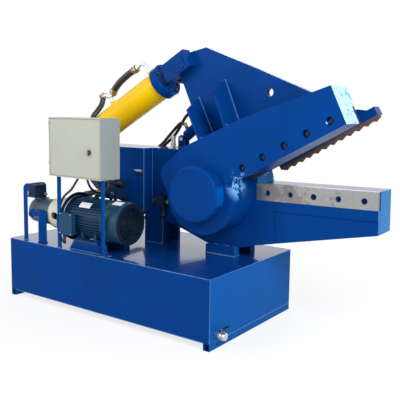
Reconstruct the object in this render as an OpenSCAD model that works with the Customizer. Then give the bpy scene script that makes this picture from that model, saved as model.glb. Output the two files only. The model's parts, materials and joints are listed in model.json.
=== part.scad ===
// Alligator shear on its oil tank, with power pack, fixed jaw, moving arm and hold-down clamp.
// X runs from the pump end to the jaws, Y from the operator's side to the back, Z up.
// Lengths along X start at the tank's pump end, along Y at the tank's front and along Z at its deck.

/* [Tank] */
// Length of the oil tank
tank_l = 2025; // [1900:5:2450]
// Width of the oil tank
tank_w = 1100; // [960:5:1400]
// Height of the oil tank
tank_h = 430; // [350:5:520]
// Thickness of the tank's side and bottom plates
tank_wall = 8; // [5:1:12]
// Thickness of the tank's deck plate
deck_t = 12; // [8:1:20]
// Side of the square skid tubes
skid = 50; // [40:5:80]
// Wall of the skid tubes
skid_wall = 4; // [3:0.5:6]
// Bore of the drain valve
drain_bore = 20; // [12:1:30]

/* [Jaw and frame] */
// Distance of the pivot from the tank's pump end
pivot_x = 1643; // [1600:1:1700]
// Height of the pivot above the deck
pivot_z = 482; // [470:1:520]
// Plane in which the two blades pass each other
shear_y = 650; // [600:1:700]
// Gap between the fixed parts and the shear plane
shear_gap = 0.5; // [0.2:0.1:1]
// Thickness of the fixed jaw
jaw_t = 235; // [180:5:280]
// Height of the jaw's top above the pivot, at the inner end of the blade
jaw_rise = 77; // [60:1:90]
// Slope of the jaw's top in degrees
jaw_slope = 0.9; // [0:0.1:2]
// Height of the frame's flat top above the deck
frame_top = 769; // [720:1:800]
// Thickness of the plates in the frame's rear leg
leg_plate = 30; // [20:1:40]
// Height of the foot blocks
foot_h = 65; // [40:1:90]

/* [Blades] */
// Length of each blade
blade_l = 890; // [700:5:960]
// Height of each blade
blade_h = 120; // [90:5:140]
// Thickness of each blade
blade_t = 40; // [25:1:50]
// Distance from the pivot to the inner end of the blades
blade_start = 326; // [322:1:340]
// Number of bolts in each blade
blade_bolts = 5; // [3:1:7]
// Radius of the blade bolts
blade_bolt_r = 13; // [8:1:16]

/* [Moving arm] */
// Slope of the arm's cutting edge when open, in degrees
arm_open = 28; // [26:0.5:32]
// Distance from the pivot down to the line of the cutting edge
edge_drop = 49; // [40:1:60]
// Width of the arm's thick lower beam
beam_w = 247; // [180:1:280]
// Thickness of the arm's upper plate
web_t = 50; // [40:1:70]
// Radius of the arm's hub
hub_r = 302; // [280:1:320]
// Thickness of the arm's two ribs
rib_t = 18; // [12:1:30]
// Radius of the lifting hole in the upper plate
lift_hole_r = 29; // [20:1:40]

/* [Main pivot] */
// Radius of the main shaft
shaft_r = 80; // [60:1:100]
// Wall of the bronze bushes
bush_wall = 15; // [8:1:20]
// Running clearance on the radius of each bush
run_gap = 0.05; // [0.02:0.01:0.1]
// Radius of the round cap on the shaft's front end
cap_r = 208; // [150:1:240]
// Length of the cap
cap_l = 100; // [60:1:130]

/* [Main cylinder] */
// Outside radius of the cylinder barrel
barrel_r = 116; // [100:1:130]
// Bore radius of the barrel
bore_r = 90; // [70:1:95]
// Radius of the piston rod
rod_r = 60; // [40:1:70]
// Radius of the gland collar
gland_r = 135; // [125:1:150]
// Length of the gland collar
gland_l = 70; // [50:1:90]
// Radius of the pins at both ends of the cylinder
cyl_pin_r = 45; // [30:1:50]
// Width over the cheeks of the rod fork
fork_w = 226; // [190:1:250]
// Height of the rod fork
fork_h = 140; // [120:1:150]
// Clearance on the radius where the closed linkage is open
open_gap = 9; // [9:0.5:12]

/* [Hold-down clamp] */
// Thickness of the clamp's side plate
clamp_t = 40; // [25:1:50]
// Width of the toothed bar
tooth_w = 55; // [40:1:70]
// Number of teeth on the bar
teeth = 12; // [8:1:16]
// Height of the teeth
tooth_h = 22; // [12:1:30]
// Outside radius of the clamp cylinder
clamp_cyl_r = 45; // [35:1:55]

/* [Electric box] */
// Width of the electric box
box_w = 550; // [450:5:620]
// Height of the electric box
box_h = 448; // [380:2:520]
// Depth of the electric box
box_d = 200; // [150:5:240]
// Height of the box's underside above the deck
box_z = 561; // [480:1:640]
// Thickness of the box's sheet
sheet = 2; // [1.5:0.5:3]
// Section of the posts
post = 22; // [20:1:40]

/* [Motor and pump] */
// Distance of the motor axis from the tank's front
motor_y = 205; // [190:1:230]
// Shaft height of the motor above its feet
motor_h = 160; // [155:1:180]
// Height of the motor's base rails
base_h = 65; // [50:1:80]
// Radius over the motor's fins
fin_r = 160; // [150:1:165]
// Number of cooling fins
fins = 44; // [24:4:60]
// Radius of the motor shaft
motor_shaft_r = 21; // [15:1:24]
// Radius of the pump body
pump_r = 105; // [80:1:110]

/* [Hidden] */
$fn = 64;

blue = [0.03, 0.24, 0.58];
steel = [0.66, 0.67, 0.68];
teal = [0.10, 0.36, 0.50];
black = [0.09, 0.09, 0.10];

// Cutting geometry
fixed_y = shear_y + shear_gap;
jaw_back = fixed_y + jaw_t;
blade_pitch = blade_l / blade_bolts;
bolt_drop = 65;
jaw_x = pivot_x + blade_start;
jaw_z = pivot_z + jaw_rise;
jaw_tip_x = jaw_x + blade_l;
jaw_tip_z = jaw_z + blade_l * tan(jaw_slope);
arm_front = shear_y - beam_w;
web_front = shear_y - web_t;
edge_start = 315;
edge_end = edge_start + blade_l;

// The arm's outline is drawn for this slope of its edge and turned to the slope it stands at
drawn_open = 28;
arm_turn = arm_open - drawn_open;
drawn_tail = [-303, 931];

// Main cylinder: both pins, given from the pivot, then length and slope
cyl_y = shear_y - web_t / 2;
tail = [drawn_tail[0] * cos(arm_turn) - drawn_tail[1] * sin(arm_turn),
    drawn_tail[0] * sin(arm_turn) + drawn_tail[1] * cos(arm_turn)];
base = [350 - pivot_x, 845 - pivot_z];
cyl_len = norm(tail - base);
cyl_slope = atan2(tail[1] - base[1], tail[0] - base[0]);
gland_x = cyl_len - 272;
fork_back = 146;
fork_slot = 122;
fork_front = 95;
slot_w = web_t + 5;
eye_w = 75;
ear_t = 40;
rear_front = cyl_y - eye_w / 2 - 2.5 - ear_t;

// Hold-down clamp
clamp_y = jaw_back + 0.5;
clamp_slope = 29.5;
clamp_tail = [-163, 638];
clamp_base = [1110 - pivot_x, 838 - pivot_z];
clamp_len = norm(clamp_tail - clamp_base);
clamp_cyl_slope = atan2(clamp_tail[1] - clamp_base[1], clamp_tail[0] - clamp_base[0]);
clamp_mid = clamp_y + clamp_t / 2;
bar_start = 450;
bar_l = 815;
bar_drop = 84;
bar_base = 14;
beam_h = 60;
clamp_pin_r = 16;

// Electric box
box_x = 520;
box_y = -20;
door_t = 16;
lock_x = box_x + 440;
lock_z = box_z + box_h / 2 - 25;
lock_reach = 22;
rim = 12;
door_gap = 3;
hinge_r = 5;

// Motor and pump along X
axis_z = base_h + motor_h;
bell_x = 365;
flange_x = 605;
frame_x = 640;
rear_x = 1010;
cowl_x = 1024;
motor_end = 1160;
pump_x = 98;
foot_half = 127;
foot_x = 712;
foot_len = 254;
stator_r = 128;
air_gap = 1;
seat = 0.05;
bearing_r = 45;

deck_z = skid + tank_h;
tip_over = 9;
mid_x = (jaw_tip_x + tip_over) / 2;
mid_y = (box_y - lock_reach + tank_w) / 2;

// ---------- Shared shapes ----------

// Puts what is drawn in deck coordinates into the machine's own frame.
module on_deck() {
    translate([-mid_x, -mid_y, deck_z]) children();
}

// Extrudes an outline drawn in X and Z from y0 to y1.
module slab(y0, y1) {
    translate([0, y1, 0]) rotate([90, 0, 0]) linear_extrude(y1 - y0) children();
}

module rod_x(x0, x1, y, z, r) {
    translate([x0, y, z]) rotate([0, 90, 0]) cylinder(h = x1 - x0, r = r);
}

module rod_y(x, z, r, y0, y1) {
    translate([x, y0, z]) rotate([-90, 0, 0]) cylinder(h = y1 - y0, r = r);
}

module rod_z(x, y, r, z0, z1) {
    translate([x, y, z0]) cylinder(h = z1 - z0, r = r);
}

module block(low, high) {
    translate(low) cube(high - low);
}

// Revolves an outline, drawn as distance along X and radius, about a line parallel to X.
module turned_x(y, z) {
    translate([0, y, z]) rotate([0, 90, 0]) rotate_extrude($fn = 96) mirror([1, -1, 0]) children();
}

// Moves the origin to the pivot.
module at_pivot() {
    translate([pivot_x, 0, pivot_z]) children();
}

// Frame of the main cylinder: X along it from the base pin, Y from its centre plane.
module cyl_frame() {
    at_pivot() translate([base[0], cyl_y, base[1]]) rotate([0, -cyl_slope, 0]) children();
}

module clamp_cyl_frame() {
    at_pivot() translate([clamp_base[0], clamp_mid, clamp_base[1]]) rotate([0, -clamp_cyl_slope,
        0]) children();
}

module arm_frame() {
    at_pivot() rotate([0, -arm_turn, 0]) children();
}

// Line of the open arm's cutting edge: X along it, Z up from it.
module edge_frame() {
    at_pivot() rotate([0, -arm_open, 0]) translate([0, 0, -edge_drop]) children();
}

// Point of the drawn arm at a distance along its edge and a height above it.
function on_edge(along, up) = [along * cos(drawn_open) - (up - edge_drop) * sin(drawn_open),
    along * sin(drawn_open) + (up - edge_drop) * cos(drawn_open)];

// Line of the fixed jaw's top, from the blade's inner end.
module jaw_frame() {
    translate([jaw_x, 0, jaw_z]) rotate([0, -jaw_slope, 0]) children();
}

module bar_frame() {
    at_pivot() rotate([0, -clamp_slope, 0]) translate([bar_start, 0, -bar_drop]) children();
}

function unit(v) = v / norm(v);
function curve(p0, p1, p2, p3, t) = 0.5 * (2 * p1 + (p2 - p0) * t + (2 * p0 - 5 * p1 + 4 * p2 - p3) * t * t
    + (3 * p1 - p0 - 3 * p2 + p3) * t * t * t);
function smooth(p, n) = concat([for (i = [0:len(p) - 2], k = [0:n - 1])
    curve(p[max(i - 1, 0)], p[i], p[i + 1], p[min(i + 2, len(p) - 1)], k / n)], [p[len(p) - 1]]);
function tangents(p) = [for (i = [0:len(p) - 1]) unit(p[min(i + 1, len(p) - 1)] - p[max(i - 1, 0)])];
function first_normal(t) = unit(cross(t, abs(t[2]) < 0.9 ? [0, 0, 1] : [1, 0, 0]));
function carried(n, t) = unit(n - (n * t) * t);
function normals(t, i = 0, done = []) = i == len(t) ? done
    : normals(t, i + 1, concat(done, [i == 0 ? first_normal(t[0]) : carried(done[i - 1], t[i])]));

// Round hose along a smooth line through the points.
module hose(points, r, steps = 2, sides = 8) {
    p = smooth(points, steps);
    last = len(points) - 1;
    inner = tangents(p);
    t = concat([unit(points[1] - points[0])], [for (i = [1:len(p) - 2]) inner[i]],
        [unit(points[last] - points[last - 1])]);
    m = normals(t);
    rings = len(p);
    skin = [for (i = [0:rings - 1], k = [0:sides - 1])
        p[i] + r * (cos(360 * k / sides) * m[i] + sin(360 * k / sides) * cross(t[i], m[i]))];
    walls = [for (i = [0:rings - 2], k = [0:sides - 1])
        [i * sides + k, (i + 1) * sides + k, (i + 1) * sides + (k + 1) % sides, i * sides + (k + 1) % sides]];
    ends = [[for (k = [0:sides - 1]) k], [for (k = [sides - 1:-1:0]) (rings - 1) * sides + k]];
    polyhedron(points = skin, faces = concat(walls, ends));
}

// Hexagon bolt head with its washer, standing on z = 0.
module bolt_head(r) {
    cylinder(h = 0.3 * r, r = 2.1 * r);
    cylinder(h = 1.6 * r, r = 1.8 * r, $fn = 6);
}

// ---------- Tank ----------

drain_y = 83;
drain_z = 45 - tank_h;
drain_out = 70;
suction_x = 340;
suction_y = 54;
suction_r = 34;
return_x = 560;
return_y = 470;
return_r = 18;

// Welded oil tank, open inside, with its drain and pipe holes.
module oil_tank() {
    color(blue) on_deck() difference() {
        block([0, 0, -tank_h], [tank_l, tank_w, 0]);
        block([tank_wall, tank_wall, tank_wall - tank_h], [tank_l - tank_wall, tank_w - tank_wall, -deck_t]);
        rod_x(tank_l - 2 * tank_wall, tank_l + 1, drain_y, drain_z, drain_bore);
        rod_z(suction_x, suction_y, suction_r + run_gap, -2 * deck_t, 1);
        rod_z(return_x, return_y, return_r + run_gap, -2 * deck_t, 1);
    }
}

module skid_tubes() {
    color(blue) on_deck() for (x = [0, tank_l - skid]) difference() {
        block([x, 0, -deck_z], [x + skid, tank_w, -tank_h]);
        block([x + skid_wall, -1, skid_wall - deck_z], [x + skid - skid_wall, tank_w + 1,
            -tank_h - skid_wall]);
    }
}

// Ball valve screwed into the tank's end, with a stem for its lever.
module drain_valve() {
    color(blue) on_deck() difference() {
        union() {
            rod_x(tank_l - tank_wall, tank_l + drain_out, drain_y, drain_z, drain_bore - run_gap);
            rod_x(tank_l + 2, tank_l + 18, drain_y, drain_z, drain_bore + 8);
            rod_x(tank_l + 22, tank_l + 52, drain_y, drain_z, drain_bore + 9);
            rod_x(tank_l + 56, tank_l + drain_out + 2, drain_y, drain_z, drain_bore + 6);
            rod_z(tank_l + 37, drain_y, 7, drain_z, drain_z + drain_bore + 24);
        }
        rod_x(tank_l - tank_wall - 1, tank_l + drain_out - 20, drain_y, drain_z, drain_bore - 6);
    }
}

// Lever of the drain valve, turning on the stem.
module drain_lever() {
    z = drain_z + drain_bore + 13;
    color([0.75, 0.08, 0.06]) on_deck() difference() {
        union() {
            rod_z(tank_l + 37, drain_y, 13, z, z + 6);
            block([tank_l + 28, drain_y, z], [tank_l + 46, drain_y + 90, z + 6]);
            rod_z(tank_l + 37, drain_y + 90, 9, z, z + 6);
        }
        rod_z(tank_l + 37, drain_y, 7 + run_gap, z - 1, z + 7);
    }
}

// ---------- Frame and fixed jaw ----------

front_x = jaw_x + 14;
rear_x0 = 250;
rear_x1 = 985;
leg_x0 = 935;
leg_x1 = 1096;
foot_x0 = pivot_x - 88;
foot_x1 = pivot_x + 169;
foot_near = shear_y - 40;
ear_r = 80;
clamp_ear_r = 32;
clamp_ear_t = 18;
clamp_eye_w = 34;
clamp_ear_gap = 0.5;
step_in = 8;
step_drop = 190;

module jaw_outline() {
    translate([pivot_x, pivot_z]) polygon([
        [jaw_tip_x - pivot_x + tip_over / 2, jaw_tip_z - pivot_z], [jaw_tip_x - pivot_x + tip_over, -190],
            [310, -382],
        [187, foot_h - pivot_z], [-103, foot_h - pivot_z], [-379, -328], [-574, -281],
            [rear_x1 - pivot_x, -260],
        [rear_x1 - pivot_x, frame_top - pivot_z], [287, frame_top - pivot_z], [312, 183],
        [front_x - pivot_x, jaw_rise + (front_x - jaw_x) * tan(jaw_slope)]]);
}

module rear_outline() {
    polygon([[rear_x0, frame_top], [rear_x0, 570], [450, 400], [935, 270], [rear_x1 + 1, 257],
        [rear_x1 + 1, frame_top]]);
}

module ear_outline(x, z, r, foot) {
    translate([x, z]) circle(r);
    translate([x - r, foot]) square([2 * r, z - foot]);
}

// One weldment: fixed jaw, pivot housing, rear box with the cylinder's ears, leg and clamp ears.
module main_frame() {
    cx = pivot_x + clamp_base[0];
    cz = pivot_z + clamp_base[1];
    clamp_near = clamp_mid - clamp_eye_w / 2 - clamp_ear_gap;
    clamp_far = clamp_mid + clamp_eye_w / 2 + clamp_ear_gap;
    color(blue) on_deck() difference() {
        union() {
            slab(fixed_y, jaw_back) jaw_outline();
            slab(rear_front, jaw_back) rear_outline();
            for (y = [rear_front, cyl_y + eye_w / 2 + 2.5])
                slab(y, y + ear_t) ear_outline(pivot_x + base[0], pivot_z + base[1], ear_r, frame_top - 1);
            for (y = [shear_y - leg_plate, jaw_back - leg_plate])
                block([leg_x0, y, 0], [leg_x1, y + leg_plate + 1, 300]);
            block([(leg_x0 + leg_x1 - leg_plate) / 2, shear_y - 1, 0],
                [(leg_x0 + leg_x1 + leg_plate) / 2, jaw_back - 1, 300]);
            slab(clamp_near - clamp_ear_t, clamp_near) ear_outline(cx, cz, clamp_ear_r, frame_top - 1);
            slab(clamp_far, clamp_far + clamp_ear_t) ear_outline(cx, cz, clamp_ear_r, frame_top - 70);
            block([cx - clamp_ear_r, jaw_back - 1, frame_top - 70], [cx + clamp_ear_r, clamp_far + 1,
                frame_top - 12]);
        }
        block([905, rear_front - 1, 400], [975, rear_front + 12, 560]);
        rod_y(pivot_x, pivot_z, shaft_r + run_gap, fixed_y - 1, jaw_back + 1);
        rod_y(pivot_x + base[0], pivot_z + base[1], cyl_pin_r + run_gap, rear_front - 1, shear_y + 100);
        rod_y(cx, cz, clamp_pin_r + run_gap, clamp_near - clamp_ear_t - 1, clamp_far + clamp_ear_t + 1);
        jaw_frame() {
            block([0, fixed_y - 1, -blade_h], [blade_l + 60, fixed_y + blade_t, 1]);
            block([142, fixed_y - 1, -step_drop - 400], [blade_l + 60, fixed_y + step_in, -step_drop]);
            for (i = [0:blade_bolts - 1])
                rod_y(blade_pitch * (i + 0.5), -bolt_drop, blade_bolt_r + run_gap, fixed_y,
                    fixed_y + blade_t + 60);
        }
    }
}

// Two blocks on the deck that carry the jaw under the pivot.
module foot_blocks() {
    color(blue) on_deck() difference() {
        for (y = [[foot_near, shear_y + 30], [shear_y + 190, shear_y + 260]])
            block([foot_x0, y[0], 0], [foot_x1, y[1], foot_h]);
        for (x = foot_bolt_x) rod_z(x, foot_near + 20, deck_bolt_r + run_gap, -1, foot_h + 1);
    }
}

deck_bolt_r = 9;
foot_bolt_x = [foot_x0 + 35, (foot_x0 + foot_x1) / 2, foot_x1 - 35];

// Bolts that hold the foot block and the motor's feet.
module deck_bolts() {
    color(steel) on_deck() {
        for (x = foot_bolt_x) translate([x, foot_near + 20, foot_h]) {
            bolt_head(deck_bolt_r);
            translate([0, 0, -foot_h]) cylinder(h = foot_h + 1, r = deck_bolt_r);
        }
        for (x = [foot_x + 25, foot_x + foot_len - 25], y = [motor_y - foot_half, motor_y + foot_half])
            translate([x, y, base_h + foot_plate]) {
                bolt_head(deck_bolt_r);
                translate([0, 0, -foot_plate - 30]) cylinder(h = foot_plate + 31, r = deck_bolt_r);
            }
    }
}

module blade_bar() {
    difference() {
        block([0, 0, 0], [blade_l, blade_t, blade_h]);
        for (i = [0:blade_bolts - 1]) blade_hole(i);
    }
}

// Bolt hole i of a blade lying along X with its outer face at y = 0.
module blade_hole(i) {
    rod_y(blade_pitch * (i + 0.5), blade_h - bolt_drop, blade_bolt_r + run_gap, -1, blade_t + 1);
    rod_y(blade_pitch * (i + 0.5), blade_h - bolt_drop, 1.6 * blade_bolt_r, -1, 0.8 * blade_t);
}

module lower_blade() {
    color(steel) on_deck() jaw_frame() translate([0, fixed_y, -blade_h]) blade_bar();
}

// Socket screw along Y, its head's face at y = 0.
module blade_bolt(grip) {
    difference() {
        union() {
            rod_y(0, 0, 1.55 * blade_bolt_r, 0, 0.7 * blade_bolt_r);
            rod_y(0, 0, blade_bolt_r, 0, grip);
        }
        translate([0, -1, 0]) rotate([-90, 0, 0]) cylinder(h = 0.5 * blade_bolt_r + 1,
            r = 0.8 * blade_bolt_r, $fn = 6);
    }
}

module lower_blade_bolts() {
    color(blue) on_deck() jaw_frame() for (i = [0:blade_bolts - 1])
        translate([blade_pitch * (i + 0.5), fixed_y + 0.8 * blade_t - 0.7 * blade_bolt_r, -bolt_drop])
            blade_bolt(0.2 * blade_t + 0.7 * blade_bolt_r + 55);
}

// ---------- Main pivot ----------

cap_bore = 70;
keeper_t = 20;
shaft_end = clamp_y + clamp_t + 0.5;

module main_shaft() {
    color(steel) on_deck() rod_y(pivot_x, pivot_z, shaft_r, arm_front - cap_bore, shaft_end);
}

// Round cap on the front end of the shaft, turned with a rounded edge.
module shaft_cap() {
    edge = 22;
    face = 0.5;
    color(blue) on_deck() translate([pivot_x, arm_front - face, pivot_z]) rotate([90, 0,
        0]) rotate_extrude($fn = 128)
        difference() {
            union() {
                square([cap_r, cap_l - edge]);
                square([cap_r - edge, cap_l]);
                translate([cap_r - edge, cap_l - edge]) intersection() {
                    circle(edge);
                    square(edge);
                }
            }
            translate([-1, -1]) square([shaft_r + run_gap + 1, cap_bore - face + 1]);
        }
}

// Plate and screws that keep the arms on the back end of the shaft.
module shaft_keeper() {
    color(blue) on_deck() translate([pivot_x, shaft_end, pivot_z]) rotate([-90, 0, 0]) {
        cylinder(h = keeper_t, r = 1.6 * shaft_r);
        for (a = [30:60:330]) rotate(a) translate([0.6 * shaft_r, 0, keeper_t]) cylinder(h = 12, r = 14,
            $fn = 6);
    }
}

module arm_bush() {
    color([0.72, 0.53, 0.20]) on_deck() difference() {
        rod_y(pivot_x, pivot_z, shaft_r + bush_wall, arm_front, shear_y);
        rod_y(pivot_x, pivot_z, shaft_r + run_gap, arm_front - 1, shear_y + 1);
    }
}

// ---------- Moving arm ----------

module beam_outline() {
    circle(hub_r, $fn = 128);
    polygon([[-366, 110], [-344, 179], [-156, 326], [328, 538], [975, 757], on_edge(edge_end, 0),
        on_edge(472, 0), [289, 130], [200, 0], [-200, -100], [-303, -20]]);
}

module web_outline() {
    translate(drawn_tail) circle(80);
    polygon([[-373, 893], [-305, 782], [-235, 631], [-143, 453], [-100, 300], [328, 500], [800, 690],
        [751, 721],
        [358, 879], [-102, 1053], [-315, 1010]]);
}

// Rib standing on the beam against the upper plate, from its foot to its head, with a sloping top.
module rib(foot, head, free_h) {
    rise = head - foot;
    translate([foot[0], 0, foot[1]]) rotate([0, atan2(rise[0], rise[1]), 0]) translate([-rib_t / 2, 0, 0])
        rotate([90, 0, 90]) linear_extrude(rib_t)
            polygon([[web_front + 1, -30], [web_front + 1, norm(rise)], [arm_front + 3, free_h],
                [arm_front + 3, -30]]);
}

// One weldment: hub, thick beam with the blade seat, upper plate with the tail eye, and two ribs.
module upper_arm() {
    color(blue) on_deck() difference() {
        arm_frame() union() {
            slab(arm_front, shear_y) beam_outline();
            slab(web_front, shear_y) web_outline();
            rib([-18, 386], [-170, 688], 238);
            rib([202, 483], [63, 814], 236);
        }
        rod_y(pivot_x, pivot_z, shaft_r + bush_wall + 0.02, arm_front - 1, shear_y + 1);
        arm_frame() {
            rod_y(drawn_tail[0], drawn_tail[1], cyl_pin_r + open_gap, web_front - 1, shear_y + 1);
            rod_y(440, 723, lift_hole_r, web_front - 1, shear_y + 1);
        }
        edge_frame() {
            block([edge_start, shear_y - blade_t, -100], [edge_end + 60, shear_y + 1, blade_h]);
            for (i = [0:blade_bolts - 1]) {
                rod_y(edge_start + blade_pitch * (i + 0.5), bolt_drop, blade_bolt_r + run_gap,
                    arm_front - 1, shear_y);
                rod_y(edge_start + blade_pitch * (i + 0.5), bolt_drop, 2.1 * blade_bolt_r, arm_front - 1,
                    arm_front + 45);
            }
        }
    }
}

module upper_blade() {
    color(steel) on_deck() edge_frame() difference() {
        block([edge_start, shear_y - blade_t, 0], [edge_end, shear_y, blade_h]);
        for (i = [0:blade_bolts - 1]) {
            rod_y(edge_start + blade_pitch * (i + 0.5), bolt_drop, blade_bolt_r + run_gap,
                shear_y - blade_t - 1,
                shear_y + 1);
            rod_y(edge_start + blade_pitch * (i + 0.5), bolt_drop, 1.6 * blade_bolt_r,
                shear_y - 0.45 * blade_t,
                shear_y + 1);
        }
    }
}

// Through bolts of the upper blade: a nut deep in the beam's front, a countersunk head in the blade.
module upper_blade_bolts() {
    color(steel) on_deck() edge_frame() for (i = [0:blade_bolts - 1])
        translate([edge_start + blade_pitch * (i + 0.5), 0, bolt_drop]) {
            rod_y(0, 0, blade_bolt_r, arm_front + 16, shear_y - 2);
            rod_y(0, 0, 1.55 * blade_bolt_r, shear_y - 0.45 * blade_t, shear_y - 4);
            translate([0, arm_front + 45, 0]) rotate([90, 0, 0]) cylinder(h = 20, r = 1.8 * blade_bolt_r,
                $fn = 6);
        }
}

// ---------- Hold-down clamp ----------

module clamp_outline() {
    circle(150, $fn = 96);
    translate(clamp_tail) circle(55);
    polygon([[60, 137], [-218, 636], [-112, 657], [150, 300], [370, 454], [962, 614], [1061, 604],
        [1103, 573],
        [1097, 543], [407, 217], [290, 150], [100, -110]]);
}

// Side plate with its hub, its horn for the cylinder and the beam that carries the toothed bar.
module clamp_arm() {
    color(blue) on_deck() difference() {
        union() {
            at_pivot() slab(clamp_y, clamp_y + clamp_t) clamp_outline();
            bar_frame() block([0, clamp_y - tooth_w, tooth_h + bar_base],
                [bar_l, clamp_y + clamp_t, tooth_h + bar_base + beam_h]);
        }
        rod_y(pivot_x, pivot_z, shaft_r + bush_wall + 0.02, clamp_y - 1, clamp_y + clamp_t + 1);
        rod_y(pivot_x + clamp_tail[0], pivot_z + clamp_tail[1], clamp_pin_r + 4, clamp_y - 1,
            clamp_y + clamp_t + 1);
    }
}

module saw(length, count, height) {
    pitch = length / count;
    polygon(concat([[0, height + bar_base]], [for (i = [0:count - 1], p = [[0, height], [0.5, 0]])
        [(i + p[0]) * pitch, p[1]]], [[length, height], [length, height + bar_base]]));
}

// Bar of pyramid teeth, cut as two crossing saw profiles.
module toothed_bar() {
    color([0.35, 0.22, 0.15]) on_deck() bar_frame() translate([0, clamp_y - tooth_w, 0]) intersection() {
        slab(0, tooth_w) saw(bar_l, teeth, tooth_h);
        rotate([90, 0, 90]) linear_extrude(bar_l) saw(tooth_w, 1, tooth_h);
    }
}

module clamp_bush() {
    color([0.72, 0.53, 0.20]) on_deck() difference() {
        rod_y(pivot_x, pivot_z, shaft_r + bush_wall, clamp_y, clamp_y + clamp_t);
        rod_y(pivot_x, pivot_z, shaft_r + run_gap, clamp_y - 1, clamp_y + clamp_t + 1);
    }
}

clamp_tube_end = clamp_len - 110;
clamp_bore = clamp_cyl_r - 9;
clamp_rod_r = 22;
clevis_w = clamp_t + 5;

// Tube of the clamp's cylinder with its eye and its two port bosses.
module clamp_cylinder() {
    color(blue) on_deck() clamp_cyl_frame() difference() {
        union() {
            rod_y(0, 0, clamp_ear_r - 4, -clamp_eye_w / 2, clamp_eye_w / 2);
            block([0, -clamp_eye_w / 2, -24], [60, clamp_eye_w / 2, 24]);
            rod_x(44, clamp_tube_end, 0, 0, clamp_cyl_r);
            for (x = [80, clamp_tube_end - 36]) rod_z(x, 0, 14, clamp_cyl_r - 6, clamp_cyl_r + 12);
        }
        rod_y(0, 0, clamp_pin_r + run_gap, -clamp_eye_w, clamp_eye_w);
        rod_x(64, clamp_tube_end - 24, 0, 0, clamp_bore);
        rod_x(clamp_tube_end - 25, clamp_tube_end + 1, 0, 0, clamp_rod_r + run_gap);
    }
}

// Piston, rod and clevis of the clamp's cylinder, with the clevis pin.
module clamp_rod() {
    color(steel) on_deck() clamp_cyl_frame() {
        rod_x(68, 108, 0, 0, clamp_bore - run_gap);
        rod_x(108, clamp_len - 75, 0, 0, clamp_rod_r);
        difference() {
            block([clamp_len - 84, -clevis_w / 2 - 18, -26], [clamp_len + 30, clevis_w / 2 + 18, 26]);
            block([clamp_len - 64, -clevis_w / 2, -40], [clamp_len + 31, clevis_w / 2, 40]);
        }
        rod_y(clamp_len, 0, clamp_pin_r, -clevis_w / 2 - 20, clevis_w / 2 + 20);
    }
}

// Small relief valve on the frame's top beside the clamp's cylinder, and a test coupling on the rear box.
module clamp_valve() {
    color(steel) on_deck() translate([1052, 840, frame_top]) {
        cylinder(h = 12, r = 26, $fn = 6);
        cylinder(h = 92, r = 19);
        for (z = [18, 76]) translate([0, 0, z]) cylinder(h = 14, r = 24);
    }
    color(steel) on_deck() {
        block([915, rear_front - 12, 578], [965, rear_front, 596]);
        rod_x(900, 980, rear_front - 12, 587, 7);
    }
}

// ---------- Main cylinder ----------

head_port = cyl_len - 328;
clamp_pad = 340;
base_port = 101;
port_r = 28;
line_z = 222;

module cylinder_barrel() {
    color([1, 0.78, 0.02]) on_deck() cyl_frame() difference() {
        union() {
            rod_x(118, gland_x, 0, 0, barrel_r);
            for (x = [head_port, clamp_pad]) rod_z(x, 0, port_r, barrel_r - 15, barrel_r + 24);
        }
        rod_x(117, gland_x + 1, 0, 0, bore_r);
        rod_z(head_port, 0, 12, 0, barrel_r + 25);
    }
}

// Base cap with the eye for the base pin.
module cylinder_base_cap() {
    color([1, 0.78, 0.02]) on_deck() cyl_frame() difference() {
        union() {
            slab(-eye_w / 2, eye_w / 2) {
                circle(75);
                translate([0, -75]) square([95, 150]);
            }
            rod_x(90, 118, 0, 0, barrel_r);
            rod_x(118, 145, 0, 0, bore_r - run_gap);
            rod_y(base_port, 0, 16, -barrel_r - 10, 0);
        }
        rod_y(0, 0, cyl_pin_r + run_gap, -eye_w, eye_w);
        rod_y(base_port, 0, 8, -barrel_r - 11, -20);
        rod_x(base_port, 150, 0, 0, 12);
    }
}

module cylinder_gland() {
    color(blue) on_deck() cyl_frame() turned_x(0, 0) polygon([
        [gland_x - 40, rod_r + run_gap], [gland_x - 40, bore_r - run_gap], [gland_x, bore_r - run_gap],
        [gland_x, gland_r], [gland_x + gland_l - 6, gland_r], [gland_x + gland_l, gland_r - 6],
        [gland_x + gland_l, rod_r + run_gap]]);
}

module gland_bolts() {
    color([0.2, 0.2, 0.22]) on_deck() cyl_frame() for (a = [22.5:45:359])
        translate([gland_x + gland_l, 0, 0]) rotate([a, 0, 0]) translate([0, 0, 108]) rotate([0, 90, 0])
            cylinder(h = 9, r = 13, $fn = 6);
}

// Elbow and ferrule on the head port, and the union where the head line goes on.
module cylinder_fittings() {
    color(steel) on_deck() cyl_frame() {
        rod_z(head_port, 0, 20, barrel_r + 24, barrel_r + 44);
        rod_z(head_port, 0, 15, barrel_r + 40, line_z);
        translate([head_port, 0, line_z]) sphere(18);
        rod_x(head_port - 92, head_port, 0, line_z, 15);
        rod_x(head_port - 152, head_port - 88, 0, line_z, 20);
        rod_z(clamp_pad, 0, 15, barrel_r + 24, 186);
        rod_x(clamp_pad - 34, clamp_pad + 34, 0, 186, 19);
        rod_y(base_port, 0, 15, -barrel_r - 40, -barrel_r - 10);
    }
}

module head_hose() {
    color(black) on_deck() cyl_frame()
        hose([[head_port - 152.5, 0, line_z], [head_port - 200, 0, line_z], [540, 0, 219], [450, 0, 207],
            [404, 0, 189], [clamp_pad + 48, 0, 186], [clamp_pad + 34.5, 0, 186]], 14, 2, 10);
}

// Rod and piston, turned in one piece.
module piston_rod() {
    color([0.8, 0.8, 0.82]) on_deck() cyl_frame() {
        rod_x(160, 250, 0, 0, bore_r - run_gap);
        rod_x(250, cyl_len - fork_slot - 2, 0, 0, rod_r);
    }
}

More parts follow.
